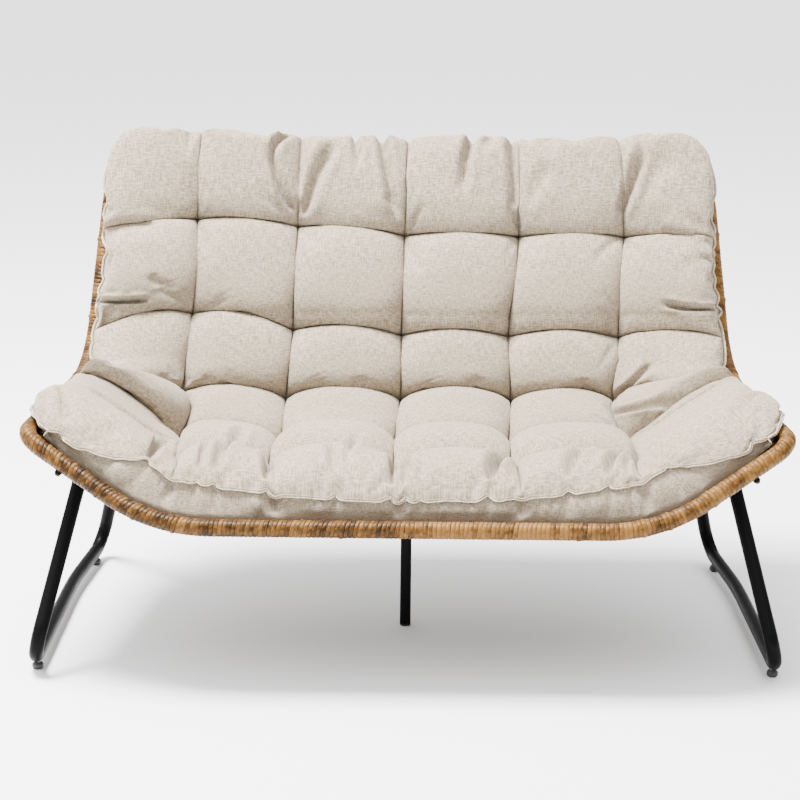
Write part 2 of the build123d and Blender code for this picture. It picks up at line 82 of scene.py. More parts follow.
# How far inside its bends the side rail starts and ends
RAIL_INSET = 0.0015
RIM_TUBE_RADIUS = 0.0125
WRAP_RADIUS = 0.0155


def at(x, setback, z):
    return np.array((x, setback - HALF_DEPTH, z), float)


def unit(vector):
    return vector / np.linalg.norm(vector, axis=-1, keepdims=True)


def bent_line(points, radii, steps=24):
    """Straight runs through the points, with an arc of its radius at each inner point."""
    line = [points[0]]
    for before, corner, after, radius in zip(points, points[1:], points[2:], radii):
        back, ahead = unit(before - corner), unit(after - corner)
        half_turn = (math.pi - math.acos(float(back @ ahead))) / 2
        centre = corner + unit(back + ahead) * radius / math.cos(half_turn)
        spoke = corner + back * radius * math.tan(half_turn) - centre
        for angle in np.linspace(0, 2 * half_turn, steps):
            line.append(centre + spoke * math.cos(angle) - back * radius * math.sin(angle))
    line.append(points[-1])
    return np.array(line)


class Path:
    """A line in space that is read by the distance along it."""

    def __init__(self, points, closed=False):
        self.points = np.vstack([points, points[:1]]) if closed else np.asarray(points)
        steps = np.linalg.norm(np.diff(self.points, axis=0), axis=1)
        self.places = np.concatenate([[0], np.cumsum(steps)])
        self.length = self.places[-1]

    def at(self, place):
        return np.stack([np.interp(place, self.places, axis) for axis in self.points.T], axis=-1)

    def along(self, place, reach=0.0006):
        place = np.clip(place, reach, self.length - reach)
        return unit(self.at(place + reach) - self.at(place - reach))


rim_corners = [at(*corner[:3]) for corner in RIM_CORNERS]
rim_radii = [corner[3] for corner in RIM_CORNERS]
mirror_x = np.array((-1, 1, 1))
profile = Path(bent_line([at(*FRONT_MIDDLE), at(*SEAT_CORNER), at(*TOP_MIDDLE)], [SEAT_RADIUS]))


def bend_reach(before, corner, after, radius):
    """How far from its corner a bend starts."""
    cosine = float(unit(before - corner) @ unit(after - corner))
    return radius * math.tan((math.pi - math.acos(cosine)) / 2)


def side_rail():
    """The right side of the rim's centre-line, between the two bends that join it to the front and top."""
    bend, tip, back, top, top_bend = rim_corners
    start = tip + unit(bend - tip) * (bend_reach(bend, tip, back, rim_radii[1]) + RAIL_INSET)
    end = top + unit(top_bend - top) * (bend_reach(back, top, top_bend, rim_radii[3]) + RAIL_INSET)
    return Path(bent_line([start, tip, back, top, end], rim_radii[1:4]))


rail = side_rail()


class Sections:
    """Cross-sections of the shell at places along the centre profile, in metres from its front."""

    def __init__(self, places):
        places = np.asarray(places, float)
        inside = np.clip(places, 0, profile.length)
        share = inside / profile.length
        rail_share, width, climb = (np.interp(share, SECTIONS[:, 0], column) for column in SECTIONS.T[1:])
        self.direction = profile.along(inside)
        self.centre = profile.at(inside) + self.direction * (places - inside)[:, None]
        rail_point = rail.at(rail_share * rail.length) + self.direction * (places - inside)[:, None]
        across = (rail_point - self.centre) * (0, 1, 1)
        depth = np.linalg.norm(across, axis=1)
        self.up = across / depth[:, None]
        self.slant = 1 / abs(self.up[:, 1] * self.direction[:, 2] - self.up[:, 2] * self.direction[:, 1])
        bend = rail_point[:, 0] * (1 - width * FRONT_SIDE_SHARE)
        self.turn = np.arctan2(depth, rail_point[:, 0] - bend)
        self.radius = climb * FRONT_CLIMB_SHARE * depth / (1 - np.cos(self.turn))
        tangent = self.radius * np.tan(self.turn / 2)
        self.flat = bend - tangent
        side = (rail_point[:, 0] - bend - tangent * np.cos(self.turn)) / np.cos(self.turn)
        self.reach = self.flat + self.radius * self.turn + side

    def points(self, along, offset):
        """Points by distance along each section from its middle, and height above the shell's middle."""
        flat, radius, turn, slant = (
            value[:, None] for value in (self.flat, self.radius, self.turn, self.slant)
        )
        along, offset = np.broadcast_arrays(np.asarray(along, float), np.asarray(offset, float))
        run, lift = abs(along), offset * slant
        angle = np.clip((run - flat) / radius, 0, turn)
        past = np.maximum(0, run - flat - radius * turn)
        x = np.minimum(run, flat) + (radius - lift) * np.sin(angle) + past * np.cos(angle)
        height = radius - (radius - lift) * np.cos(angle) + past * np.sin(angle)
        place = self.centre[:, None, :] + self.up[:, None, :] * height[..., None]
        place[..., 0] += np.sign(along) * x
        return place


def sheet_faces(rows, columns, start=0, closed=False):
    """Quads of a grid of points, stored row by row. A closed one joins its last column to its first."""
    row = np.arange(rows - 1)[:, None] * columns + start
    column = np.arange(columns if closed else columns - 1)[None, :]
    after = (column + 1) % columns
    ahead = row + columns
    return np.stack([row + column, row + after, ahead + after, ahead + column], -1).reshape(-1, 4)


def new_piece(name, points, faces, body, slot, finish, maps, tints=None):
    """A mesh piece that rides on a body, with its finish and, per point, its map place and tint."""
    mesh = bpy.data.meshes.new(name)
    points, faces = np.asarray(points, float).reshape(-1, 3), np.asarray(faces)
    mesh.from_pydata(points.tolist(), [], faces.tolist())
    layer = mesh.uv_layers.new(name="surface")
    corners = np.zeros(len(mesh.loops), int)
    mesh.loops.foreach_get("vertex_index", corners)
    layer.data.foreach_set("uv", np.asarray(maps, float).reshape(-1, 2)[corners].ravel())
    if tints is not None:
        tint = mesh.attributes.new("strand_tint", "FLOAT", "POINT")
        tint.data.foreach_set("value", np.asarray(tints, float).ravel())
    mesh.materials.append(finish)
    mesh.shade_smooth()
    mesh.update()
    piece = bpy.data.objects.new(name, mesh)
    bpy.context.scene.collection.objects.link(piece)
    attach(piece, body)
    return piece


class Finish:
    """A material whose nodes are added one by one and joined by name."""

    def __init__(self, name, roughness, colour=(0.5, 0.5, 0.5, 1.0), metallic=0.0):
        self.material = bpy.data.materials.new(name)
        self.material.use_nodes = True
        self.tree = self.material.node_tree
        self.shader = self.tree.nodes["Principled BSDF"]
        self.set(Roughness=roughness, Metallic=metallic)
        self.shader.inputs["Base Color"].default_value = colour

    def set(self, **values):
        for name, value in values.items():
            self.shader.inputs[name.replace("_", " ")].default_value = value

    def add(self, kind, settings=None, **sockets):
        node = self.tree.nodes.new("ShaderNode" + kind)
        for name, value in (settings or {}).items():
            setattr(node, name, value)
        for name, value in sockets.items():
            self.fill(node, name.replace("_", " "), value)
        return node

    def fill(self, node, key, value):
        """Links a socket to one of the node's inputs, or sets that input's value."""
        if isinstance(value, bpy.types.NodeSocket):
            self.tree.links.new(value, node.inputs[key])
        else:
            node.inputs[key].default_value = value

    def coordinates(self, kind="Object"):
        return self.add("TexCoord").outputs[kind]

    def noise(self, vector, scale, detail=4.0, roughness=0.55):
        return self.add(
            "TexNoise", Vector=vector, Scale=scale, Detail=detail, Roughness=roughness
        ).outputs[0]

    def streaks(self, vector, scale, detail, roughness=0.55):
        """Noise with its own scale along each axis."""
        stretched = self.add("Mapping", Vector=vector, Scale=scale).outputs[0]
        return self.noise(stretched, 1.0, detail, roughness)

    def math(self, operation, first, second):
        node = self.add("Math", {"operation": operation})
        self.fill(node, 0, first)
        self.fill(node, 1, second)
        return node.outputs[0]

    def ramp(self, value, *stops):
        node = self.add("ValToRGB", Fac=value)
        elements = node.color_ramp.elements
        while len(elements) < len(stops):
            elements.new(0.5)
        for element, (place, colour) in zip(elements, stops):
            element.position = place
            element.color = colour if len(colour) == 4 else (*colour, 1.0)
        return node.outputs["Color"]

    def mix(self, factor, first, second, blend="MIX"):
        node = self.add("Mix", {"data_type": "RGBA", "blend_type": blend})
        for key, value in ((0, factor), (6, first), (7, second)):
            self.fill(node, key, value)
        return node.outputs[2]

    def colour(self, socket):
        self.tree.links.new(socket, self.shader.inputs["Base Color"])

    def rough(self, socket, low, high):
        node = self.add("MapRange", Value=socket, To_Min=low, To_Max=high)
        self.tree.links.new(node.outputs[0], self.shader.inputs["Roughness"])

    def bump(self, height, distance, strength):
        before = self.shader.inputs["Normal"].links
        node = self.add("Bump", Height=height, Distance=distance, Strength=strength)
        if before:
            self.tree.links.new(before[0].from_socket, node.inputs["Normal"])
        self.tree.links.new(node.outputs["Normal"], self.shader.inputs["Normal"])


# Scale of a wave texture for one line in a metre
BANDS_PER_LINE = math.pi / 20
# Grain of the linen across and along its threads, for the thin and the thick ones
THREAD_GRAIN = (780, 120)
SLUB_GRAIN = (560, 75)


def dimmed(shade, share):
    """A colour times a share, which may also be above 1."""
    return tuple(min(1.0, share * part) for part in shade[:3]) + (1.0,)


def linen_finish(settings, name="greige_linen", painted_highlight_lift=1.0):
    """Plain woven slub linen: crossing threads, thick and thin yarns, and a melange of three shades, all
    lifted by a share that on the welt's copy is a painted highlight.
    """
    finish = Finish(name, 0.92)
    finish.set(Specular_IOR_Level=0.25, Sheen_Weight=0.12, Sheen_Roughness=0.5)
    maps = finish.coordinates("UV")
    threads, slubs = (
        finish.math("ADD", finish.streaks(maps, (fine, coarse, 1), 2.0),
                    finish.streaks(maps, (coarse, fine, 1), 2.0))
        for fine, coarse in (THREAD_GRAIN, SLUB_GRAIN)
    )
    yarn = finish.math("MULTIPLY", finish.math("ADD", threads, slubs), 0.25)
    yarns = (settings.dark_yarn, settings.light_yarn, settings.pale_yarn)
    # A share above 1 lifts the yarns' shades and paints a highlight over the whole piece
    dark, light, pale = (dimmed(shade, painted_highlight_lift) for shade in yarns)
    shade = finish.ramp(yarn, (0.43, dark), (0.51, light), (0.59, pale))
    patches = finish.noise(maps, 9.0, 3.0)
    tone = finish.ramp(patches, (0.3, (0.93, 0.925, 0.915)), (0.7, (1.0, 1.0, 1.0)))
    finish.colour(finish.mix(1.0, shade, tone, "MULTIPLY"))
    across, along = (
        finish.add("TexWave", {"bands_direction": axis, "wave_profile": "SIN"}, Vector=maps,
                   Scale=settings.threads_per_metre * BANDS_PER_LINE, Distortion=1.2, Detail=1.0,
                   Detail_Scale=3.0).outputs["Fac"]
        for axis in ("X", "Y")
    )
    finish.bump(finish.math("MULTIPLY", across, along), distance=0.0004, strength=0.5)
    finish.bump(yarn, distance=0.0014, strength=0.8)
    return finish.material


# How much a length's tint counts in its shade
TINT_SHARE = 0.62


def rattan_finish(name, settings, darkness=0.0):
    """Flat extruded rattan strip: fine grooves along it, streaks of brown and a tint for each length."""
    finish = Finish(name, 0.5)
    finish.set(Specular_IOR_Level=0.17, Specular_Tint=(1.0, 0.84, 0.6, 1.0))
    maps = finish.coordinates("UV")
    tint = finish.add("Attribute", {"attribute_name": "strand_tint"}).outputs["Fac"]
    streaks = finish.streaks(maps, (26, 900, 1), 4.0, 0.65)
    blotches = finish.noise(maps, 110.0, 3.0)
    shares = ((streaks, 0.45), (blotches, 0.55), (finish.math("SUBTRACT", tint, 0.5), TINT_SHARE))
    marks, spots, lengths = (finish.math("MULTIPLY", value, share) for value, share in shares)
    grain = finish.math("ADD", finish.math("ADD", marks, spots), lengths)
    grain = finish.math("SUBTRACT", grain, darkness)
    tan, brown, pale = settings.tan[:], settings.brown[:], settings.pale[:]
    finish.colour(finish.ramp(grain, (0.33, brown), (0.47, tan), (0.63, pale)))
    grooves = finish.add("TexWave", {"bands_direction": "Y", "wave_profile": "SIN"}, Vector=maps,
                         Scale=settings.grooves_per_metre * BANDS_PER_LINE, Distortion=0.4).outputs["Fac"]
    finish.bump(grooves, distance=0.00035, strength=0.45)
    finish.bump(streaks, distance=0.0005, strength=0.5)
    finish.rough(streaks, 0.26, 0.5)
    return finish.material


def powder_coat_finish(settings):
    """Black satin powder coat: fine orange peel, and edges and high spots rubbed a little paler."""
    finish = Finish("black_powder_coat", 0.38)
    finish.set(Specular_IOR_Level=0.03)
    place = finish.coordinates()
    peel = finish.noise(place, 900.0, 2.0)
    cloud = finish.noise(place, 14.0, 4.0)
    dust = finish.noise(place, 220.0, 3.0)
    edge = finish.add("NewGeometry").outputs["Pointiness"]
    rubbed = finish.ramp(edge, (0.50, (0, 0, 0)), (0.60, (1, 1, 1)))
    coat = finish.mix(cloud, settings.coat[:], settings.coat_faded[:])
    finish.colour(finish.mix(finish.math("MULTIPLY", rubbed, 0.25), coat, settings.coat_rubbed[:]))
    finish.bump(peel, distance=0.00012, strength=0.35)
    finish.rough(finish.math("MULTIPLY", finish.math("ADD", cloud, dust), 0.5), 0.26, 0.5)
    return finish.material


def steel_finish(name, colour, low, high):
    """Plated or bare steel: cloudy plating, fine scratches and small stains."""
    finish = Finish(name, 0.35, metallic=1.0)
    place = finish.coordinates()
    scratches = finish.streaks(place, (60, 60, 1500), 3.0)
    cloud = finish.noise(place, 45.0, 4.0)
    finish.colour(finish.mix(cloud, dimmed(colour, 0.8), colour))
    finish.bump(scratches, distance=0.00006, strength=0.4)
    finish.rough(scratches, low, high)
    return finish.material


def moulded_finish(settings):
    """Moulded black plastic: fine spark-eroded grain and scuffs."""
    finish = Finish("moulded_black_plastic", 0.6, settings.plastic[:])
    place = finish.coordinates()
    grain = finish.noise(place, 1800.0, 2.0)
    scuffs = finish.streaks(place, (300, 40, 300), 4.0)
    worn = finish.ramp(scuffs, (0.55, (0, 0, 0)), (0.75, (0.6, 0.6, 0.6)))
    finish.colour(finish.mix(worn, settings.plastic[:], dimmed(settings.plastic, 2.2)))
    finish.bump(grain, distance=0.0001, strength=0.5)
    finish.rough(scuffs, 0.5, 0.72)
    return finish.material


def length(name, description, default, least, most):
    return FloatProperty(
        name=name, description=description, default=default, min=least, max=most, unit="LENGTH")


def amount(name, description, default, least, most):
    return FloatProperty(name=name, description=description, default=default, min=least, max=most)


def shade(name, description, *colour):
    return FloatVectorProperty(
        name=name, description=description, default=(*colour, 1.0), subtype="COLOR", size=4, min=0, max=1)


class PapasanRattan(PropertyGroup):
    strip_width: length("Strip width", "Width of the strip that is wound round the rim", 0.0076, 0.003, 0.012)
    weft_width: length("Weft width", "Width of the strips that cross the shell", 0.0074, 0.004, 0.015)
    stake_spacing: length("Stake spacing", "Distance between the shell's stakes", 0.0255, 0.015, 0.06)
    grooves_per_metre: amount("Grooves per metre", "Fine grooves across a strip's width", 1100.0, 200, 3000)
    tan: shade("Tan", "Main colour of the rattan", 0.074, 0.0315, 0.0066)
    brown: shade("Brown", "Colour of its streaks", 0.0145, 0.0055, 0.0018)
    pale: shade("Pale", "Colour of its light lengths", 0.165, 0.079, 0.020)


class PapasanCushion(PropertyGroup):
    tuft_height: length("Tuft height", "Height of a tuft above the shell", 0.034, 0.02, 0.1)
    crease_share: amount(
        "Crease share", "Height of the creases, as a share of what it is in the photograph", 1.0, 0.6, 1.6)
    puff_pressure: amount("Filling pressure", "Pressure of the filling in the cloth simulation", 4.0, 0, 20)
    threads_per_metre: amount("Threads per metre", "Threads in a metre of the linen", 900.0, 200, 3000)
    light_yarn: shade("Light yarn", "Main colour of the linen", 0.285, 0.232, 0.168)
    dark_yarn: shade("Dark yarn", "Colour of its thin yarns", 0.178, 0.140, 0.094)
    pale_yarn: shade("Pale yarn", "Colour of its thick yarns", 0.39, 0.332, 0.252)


class PapasanSteel(PropertyGroup):
    coat: shade("Coat", "Powder coat", 0.0012, 0.0012, 0.0014)
    coat_faded: shade("Faded coat", "Powder coat where it has faded", 0.0024, 0.0024, 0.0027)
    coat_rubbed: shade("Rubbed coat", "Powder coat on rubbed edges", 0.012, 0.012, 0.0125)
    zinc: shade("Zinc", "Plated steel", 0.50, 0.50, 0.47)
    plastic: shade("Plastic", "Moulded pads and plugs", 0.020, 0.020, 0.021)


class PapasanStage(PropertyGroup):
    floor: shade("Floor", "Colour of the floor", 0.86, 0.86, 0.86)
    key_power: amount("Key light", "Power of the large soft light", 1150.0, 0, 5000)
    fill_power: amount("Fill light", "Power of the fill light", 10.0, 0, 5000)
    sky: amount("Sky", "Brightness of the surroundings", 5.0, 0, 20)


def rim_loop():
    """The rim's centre-line as one closed path, from the middle of its front to the right and round."""
    right = rim_corners
    left = [corner * mirror_x for corner in reversed(rim_corners)]
    points = [at(*FRONT_MIDDLE), *right, *left, at(*FRONT_MIDDLE)]
    return Path(bent_line(points, rim_radii + rim_radii[::-1]))


# The wound strip: its section as shares of half its width and of its thickness, its gap to the tube, and
# the steps in a turn
STRIP_SECTION = [
    (-1.0, 0.0), (-0.92, 0.66), (-0.55, 0.95), (0.0, 1.0), (0.55, 0.95), (0.92, 0.66), (1.0, 0.0),
]
STRIP_THICKNESS = 0.0022
STRIP_GAP = 0.0001
TURN_STEPS = 18
# Half its width as a share of its pitch, at least and how much more at most, and how far a turn slides
STRIP_HALF_SHARE = 0.53
STRIP_SPREAD = 0.05
STRIP_SLIDE = 0.00022
# How high a turn may stand off, and how often and how high one lies over its neighbour
STRIP_STAND_OFF = 0.00035
CROSSING_SHARE = 0.06
CROSSING_HEIGHT = 0.0016
# How far the winding leans along the rim, as a share of the wrap's radius, and the turns from one lean to
# the next and from one length of rattan to the next
LEAN = 0.16
LEAN_PHASE = 0.6
LEAN_TURNS = 23
LENGTH_TURNS = 37
# How much of the tint goes by the length of rattan
LENGTH_TINT = 0.4
RIM_SEED = 11


class PAPASAN_OT_rim_wrap(Operator):
    """Winds one rattan strip round the whole rim, with a cut end at its front"""

    bl_idname = "papasan.rim_wrap"
    bl_label = "Rim wrap"

    def execute(self, context):
        settings = context.scene.papasan_rattan
        draw = np.random.default_rng(RIM_SEED)
        loop = rim_loop()
        turns = int(loop.length / settings.strip_width)
        pitch = loop.length / turns
        steps = turns * TURN_STEPS + 1
        turn = np.arange(steps) / TURN_STEPS
        angle = turn * 2 * math.pi
        knots = np.arange(turns + 2)

        def wander(every, values):
            """A value for each step, from one that is drawn for every so many turns."""
            places = np.arange(0, turns + every + 1, every)
            return np.interp(turn, places, values(len(places)))

        shift = wander(1, lambda count: draw.normal(0, STRIP_SLIDE, count))
        lift = wander(1, lambda count: draw.random(count) * STRIP_STAND_OFF)
        lift += wander(1, lambda count: (draw.random(count) < CROSSING_SHARE) * CROSSING_HEIGHT)
        lean = wander(LEAN_TURNS, lambda count: draw.normal(0, LEAN, count))
        place = turn * pitch + shift + lean * WRAP_RADIUS * np.cos(angle + LEAN_PHASE)
        half = pitch * wander(1, lambda count: STRIP_HALF_SHARE + draw.random(count) * STRIP_SPREAD)
        points, maps = [], []
        for across, rise in STRIP_SECTION:
            here = np.mod(place + across * half, loop.length)
            tangent = loop.along(here, 0.004)
            side = unit(np.cross(tangent, (0.0, 0.0, 1.0)))
            over = np.cross(side, tangent)
            radius = RIM_TUBE_RADIUS + STRIP_GAP + rise * STRIP_THICKNESS + lift * rise
            spoke = np.cos(angle)[:, None] * side + np.sin(angle)[:, None] * over
            points.append(loop.at(here) + spoke * radius[:, None])
            maps.append(np.stack([angle * WRAP_RADIUS, np.full(steps, (1 + across) / 2) * pitch], -1))
        points, maps = np.stack(points, 1), np.stack(maps, 1)
        tints = np.interp(turn + 0.5, knots, draw.beta(2.2, 2.2, turns + 2))
        lengths = wander(LENGTH_TURNS, draw.random)
        tints = (1 - LENGTH_TINT) * tints + LENGTH_TINT * lengths
        tints = np.repeat(tints[:, None], len(STRIP_SECTION), 1)
        faces = sheet_faces(steps, len(STRIP_SECTION), closed=True)
        finish = rattan_finish("rim_rattan", settings)
        piece = new_piece("rim_wrap_strip", points, faces, "frame", "wrap_rattan", finish, maps, tints)
        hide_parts("rim_front_wrap", "rim_right_wrap", "rim_left_wrap", "rim_top_wrap")
        return {"FINISHED"}


# The weave: how far it stays inside the ends of the profile and inside the rim, the cross strips' pitch
# as a share of their width, and their section as shares of half their width and of their thickness
SHELL_MARGIN = 0.008
EDGE_GAP = 0.004
WEFT_OVERLAP = 0.97
WEFT_SECTION = [(-1.0, -0.35), (-0.6, 0.5), (0.6, 0.5), (1.0, -0.35), (0.0, -0.5)]
WEFT_THICKNESS = 0.0014
# How far a cross strip goes over and under the stakes, how far it lies off its height, and its steps
WEFT_WAVE = 0.0012
WEFT_DRIFT = 0.00025
WEFT_STEPS = 190
STAKE_HALF_WIDTH = 0.0108
STAKE_HALF_THICKNESS = 0.0005
STAKE_LENGTH = 1.1
STAKE_STEPS = 130
# Distances in the rattan's map: between the edges of a strip, from strip to strip, and the most that a
# strip is moved along it
MAP_STEP = 0.002
MAP_GAP = 0.05
MAP_SLIDE = 9
# The palest that a cross strip is tinted, and a stake's darkest tint and how much paler it may be
WEFT_TINT = 0.75
STAKE_TINT = 0.3
STAKE_TINT_SPREAD = 0.3
WEAVE_SEED = 5


class Strips:
    """Closed strips of rattan that are gathered into one mesh."""

    def __init__(self):
        self.points, self.faces, self.maps, self.tints = [], [], [], []
        self.total = 0

    def add(self, rings, run, number, tint):
        """A strip from its rings of points, with the distance along it, for its streaks."""
        steps, around = rings.shape[:2]
        self.points.append(rings.reshape(-1, 3))
        self.faces.append(sheet_faces(steps, around, self.total, closed=True))
        side = np.arange(around) * MAP_STEP + number * MAP_GAP
        self.maps.append(np.stack(np.broadcast_arrays(run[:, None], side), -1).reshape(-1, 2))
        self.tints.append(np.full(steps * around, tint))
        self.total += steps * around

    def joined(self):
        return np.concatenate(self.points), np.concatenate(self.faces)


class PAPASAN_OT_woven_shell(Operator):
    """Weaves the shell: strips across it that pass over and under the upright stakes"""

    bl_idname = "papasan.woven_shell"
    bl_label = "Woven shell"

    def execute(self, context):
        settings = context.scene.papasan_rattan
        draw = np.random.default_rng(WEAVE_SEED)
        strips = Strips()
        pitch = settings.weft_width * WEFT_OVERLAP
        count = int((profile.length - 2 * SHELL_MARGIN) / pitch)
        middles = SHELL_MARGIN + pitch * (np.arange(count) + 0.5)
        lines = [Sections(middles + across * settings.weft_width / 2) for across, _ in WEFT_SECTION]
        share = np.linspace(-1, 1, WEFT_STEPS)[None, :]
        along = share * (lines[-1].reach - EDGE_GAP)[:, None]
        phase = (np.arange(count) % 2)[:, None] * math.pi
        wave = np.cos(along / settings.stake_spacing * math.pi + phase)
        drift = draw.normal(0, WEFT_DRIFT, (count, 1))
        wefts = np.stack([
            line.points(along, WEFT_WAVE * wave + rise * WEFT_THICKNESS + drift)
            for line, (_, rise) in zip(lines, WEFT_SECTION)
        ], 2)
        tint = draw.beta(2.0, 2.0, count) * WEFT_TINT
        for number in range(count):
            strips.add(wefts[number], along[number] + draw.random() * MAP_SLIDE, number, tint[number])
        ladder = np.linspace(SHELL_MARGIN, profile.length - SHELL_MARGIN, STAKE_STEPS)
        reach = Sections(ladder).reach
        stakes = int(reach.max() / settings.stake_spacing)
        for number in range(-stakes, stakes + 1):
            middle = number * settings.stake_spacing
            inside = np.flatnonzero(reach - EDGE_GAP > abs(middle))
            if len(inside) < 3:
                continue
            stake = Sections(ladder[inside])
            here = np.full((len(inside), 1), middle)
            ring = np.stack([
                stake.points(here + across * STAKE_HALF_WIDTH, rise * STAKE_HALF_THICKNESS)[:, 0]
                for across, rise in ((-1, -1), (1, -1), (1, 1), (-1, 1))
            ], 1)
            run = np.linspace(0, STAKE_LENGTH, len(inside))
            strips.add(ring, run, number, STAKE_TINT + STAKE_TINT_SPREAD * draw.random())
        finish = rattan_finish("shell_rattan", settings, 0.03)
        piece = new_piece("woven_shell_strips", *strips.joined(), "frame", "woven_rattan", finish,
                          np.concatenate(strips.maps), np.concatenate(strips.tints))
        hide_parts("woven_shell")
        return {"FINISHED"}


# Quilting of the cushion. The rows of tufts lie at distances along the profile, each crease arches back
# between two tufts, and each tuft is pulled a little out of line. Rows run from the front, columns from
# the left, and the outermost of both are the seam.
ROW_PLACES = [0.020, 0.190, 0.395, 0.592, 0.738, 0.930, 1.116]
ROW_ARCHES = [0.0, 0.004, 0.006, 0.019, 0.007, 0.003, 0.0]
ROW_CROWNS = [0.102, 0.114, 0.110, 0.106, 0.104, 0.098]
OUTER_CROWNS = [
    (0.080, 0.087), (0.056, 0.068), (0.108, 0.104), (0.104, 0.102), (0.102, 0.102), (0.088, 0.088),
]
# Heights half way between two tufts: of the creases along the columns, for each row of puffs, and of
# those along the rows, for each row of tufts
COLUMN_CREASES = [0.060, 0.060, 0.062, 0.066, 0.068, 0.080]
ROW_CREASES = [0.0, 0.050, 0.054, 0.062, 0.066, 0.062, 0.0]
# The side seam's distance from the middle, its height above the shell along the sides, and its height
# along the front, which goes by the distance from the middle
EDGES = [(0.020, 0.719), (0.060, 0.718), (0.130, 0.702), (0.200, 0.686), (0.300, 0.673), (0.400, 0.667),
         (0.500, 0.662), (0.600, 0.655), (0.650, 0.639), (0.700, 0.625), (0.755, 0.605), (0.840, 0.593),
         (0.930, 0.587), (1.000, 0.584), (1.020, 0.576), (1.035, 0.558), (1.050, 0.534), (1.065, 0.510),
         (1.116, 0.488)]
SIDE_SEAM = [(0.100, 0.022), (0.400, 0.026), (0.600, 0.045), (0.700, 0.055), (1.116, 0.052)]
FRONT_SEAM = [(0.0, 0.034), (0.105, 0.036), (0.240, 0.043), (0.345, 0.057), (0.486, 0.056), (0.566, 0.032),
              (0.610, 0.023), (0.720, 0.022)]
# Folds in the cover, in millimetres: where each starts, along the profile and from the middle, where it
# ends, its depth and half its width
FOLDS = [
    (259, -296, -20, -330, 13, 9), (161, -359, -20, -363, 9, 8), (110, -690, 0, -640, 9, 9),
    (60, -575, -20, -605, 6, 10), (226, -466, -10, -500, 11, 12), (233, -630, 271, -462, 7, 9),
    (100, -128, -30, -112, 15, 8), (219, -91, 33, -106, 9, 7), (150, -23, 15, -26, 13, 7),
    (40, -40, -30, -18, 8, 7), (120, -245, -30, -229, 13, 8), (159, 179, -30, 126, 19, 10),
    (120, 306, -30, 262, 14, 9), (141, 404, 0, 331, 14, 10), (243, 424, 100, 420, 9, 7),
    (99, 404, 20, 392, 6, 6), (100, 505, 0, 490, 6, 9), (90, 550, 0, 535, 6, 9),
    (110, 690, 0, 640, 11, 9), (131, 13, -20, -4, 12, 9), (50, 25, -30, 25, 9, 7),
    (576, 420, 687, 489, 8, 12), (505, 420, 340, 658, 8, 10), (345, 424, 309, 637, 8, 10),
    (1018, -260, 969, -217, 11, 8), (1050, -236, 1018, -260, 10, 8), (1030, -148, 965, -196, 11, 10),
    (1070, -103, 1014, -97, 8, 7), (1070, -56, 966, -27, 12, 9), (933, -499, 916, -610, 9, 10),
    (855, -508, 828, -484, 4, 12), (781, -620, 786, -521, 12, 7), (1075, 130, 995, 101, 11, 9),
    (1080, 195, 975, 197, 9, 8), (1020, 460, 970, 414, 11, 9), (1012, 519, 990, 460, 5, 12),
    (933, 500, 919, 605, 8, 10), (902, 570, 898, 615, 9, 7), (789, 510, 778, 610, 11, 8),
    (1007, 270, 982, 228, 4, 10),
]
# What is drawn of a fold's depth and width, how far it bows aside at its middle, the share of its length
# over which it ends, and the ridges beside it: their share of its depth and how far they lie from it
FOLD_DEPTH = 1.6
FOLD_WIDTH = 0.9
FOLD_BOW = 0.6
FOLD_END = 0.3
FOLD_RIDGE = 0.25
FOLD_RIDGE_PLACE = 2.1
COLUMN_PITCH = 0.204
COLUMNS = 6
TUFT_SHIFTS = np.array([
    (0.0, -0.012, -0.022, -0.014, -0.010, 0.010, 0.0), (0.0, -0.022, -0.040, -0.024, -0.022, 0.015, 0.0),
    (0.0, -0.036, -0.026, -0.024, -0.020, 0.020, 0.0), (0.0, -0.044, -0.023, -0.013, -0.011, -0.007, 0.0),
    (0.0, -0.005, -0.013, -0.013, -0.016, -0.007, 0.0), (0.0, -0.002, -0.007, -0.009, 0.004, 0.007, 0.0),
    (0.0, 0.0, 0.0, 0.0, 0.0, 0.0, 0.0),
])
# How far each tuft lies behind its row
TUFT_SETBACKS = np.zeros((7, 7))
TUFT_SETBACKS[4:6, 1:3] = [(0.026, 0.006), (0.022, 0.013)]
# Half the shell's thickness and the weave's height, on which the cushion lies
BASE = 0.0042
# Height of the seam along the top, and the lowest that the cover goes
TOP_SEAM = 0.052
LOWEST = 0.012
# Radius of the front corners in plan, and how far the outer puffs are pushed out near their seam
CORNER = 0.052
BULGE = 0.13
# How much lower the outer puffs of the front are, where that ends, and over what length
SLUMP = 0.44
SLUMP_END = 0.36
SLUMP_FADE = 0.08
# How far inside the side seam that starts, and over what width, both in puffs
SLUMP_INSET = 0.65
SLUMP_WIDTH = 0.6
# Powers of a puff's arch, of a crease's and of the arch towards a seam, and the spread of the heights
PUFF_POWER = 2.3
CREASE_POWER = 2.0
SEAM_POWER = 0.64
TUFT_SPREAD = 0.002
CROWN_SPREAD = 0.0025
# Points this close to a tuft, as a share of a puff, are held there while the cloth moves
PIN_SHARE = 0.02
# Where a fold meets the front seam it lifts it: by its depth times this less 1, over this share of a puff
SEAM_LIFT = 1.3
SEAM_LIFT_RUN = 0.16
# The small pleats that run from the tufts: how many from an outer and an inner one, how long and how deep
# at the outer ones, the share of that at the inner ones, half their width, how much they curl, and how
# far from the tuft they narrow and how far they deepen
OUTER_PLEATS = (3, 6)
INNER_PLEATS = (1, 4)
PLEAT_LENGTHS = (0.05, 0.13)
PLEAT_DEPTHS = (0.003, 0.008)
INNER_PLEAT = 0.6
PLEAT_WIDTH = 0.0075
PLEAT_CURL = 2.5
PLEAT_NARROWS = 0.02
PLEAT_DEEPENS = 0.03


def smooth_step(value):
    value = np.clip(value, 0, 1)
    return value * value * (3 - 2 * value)


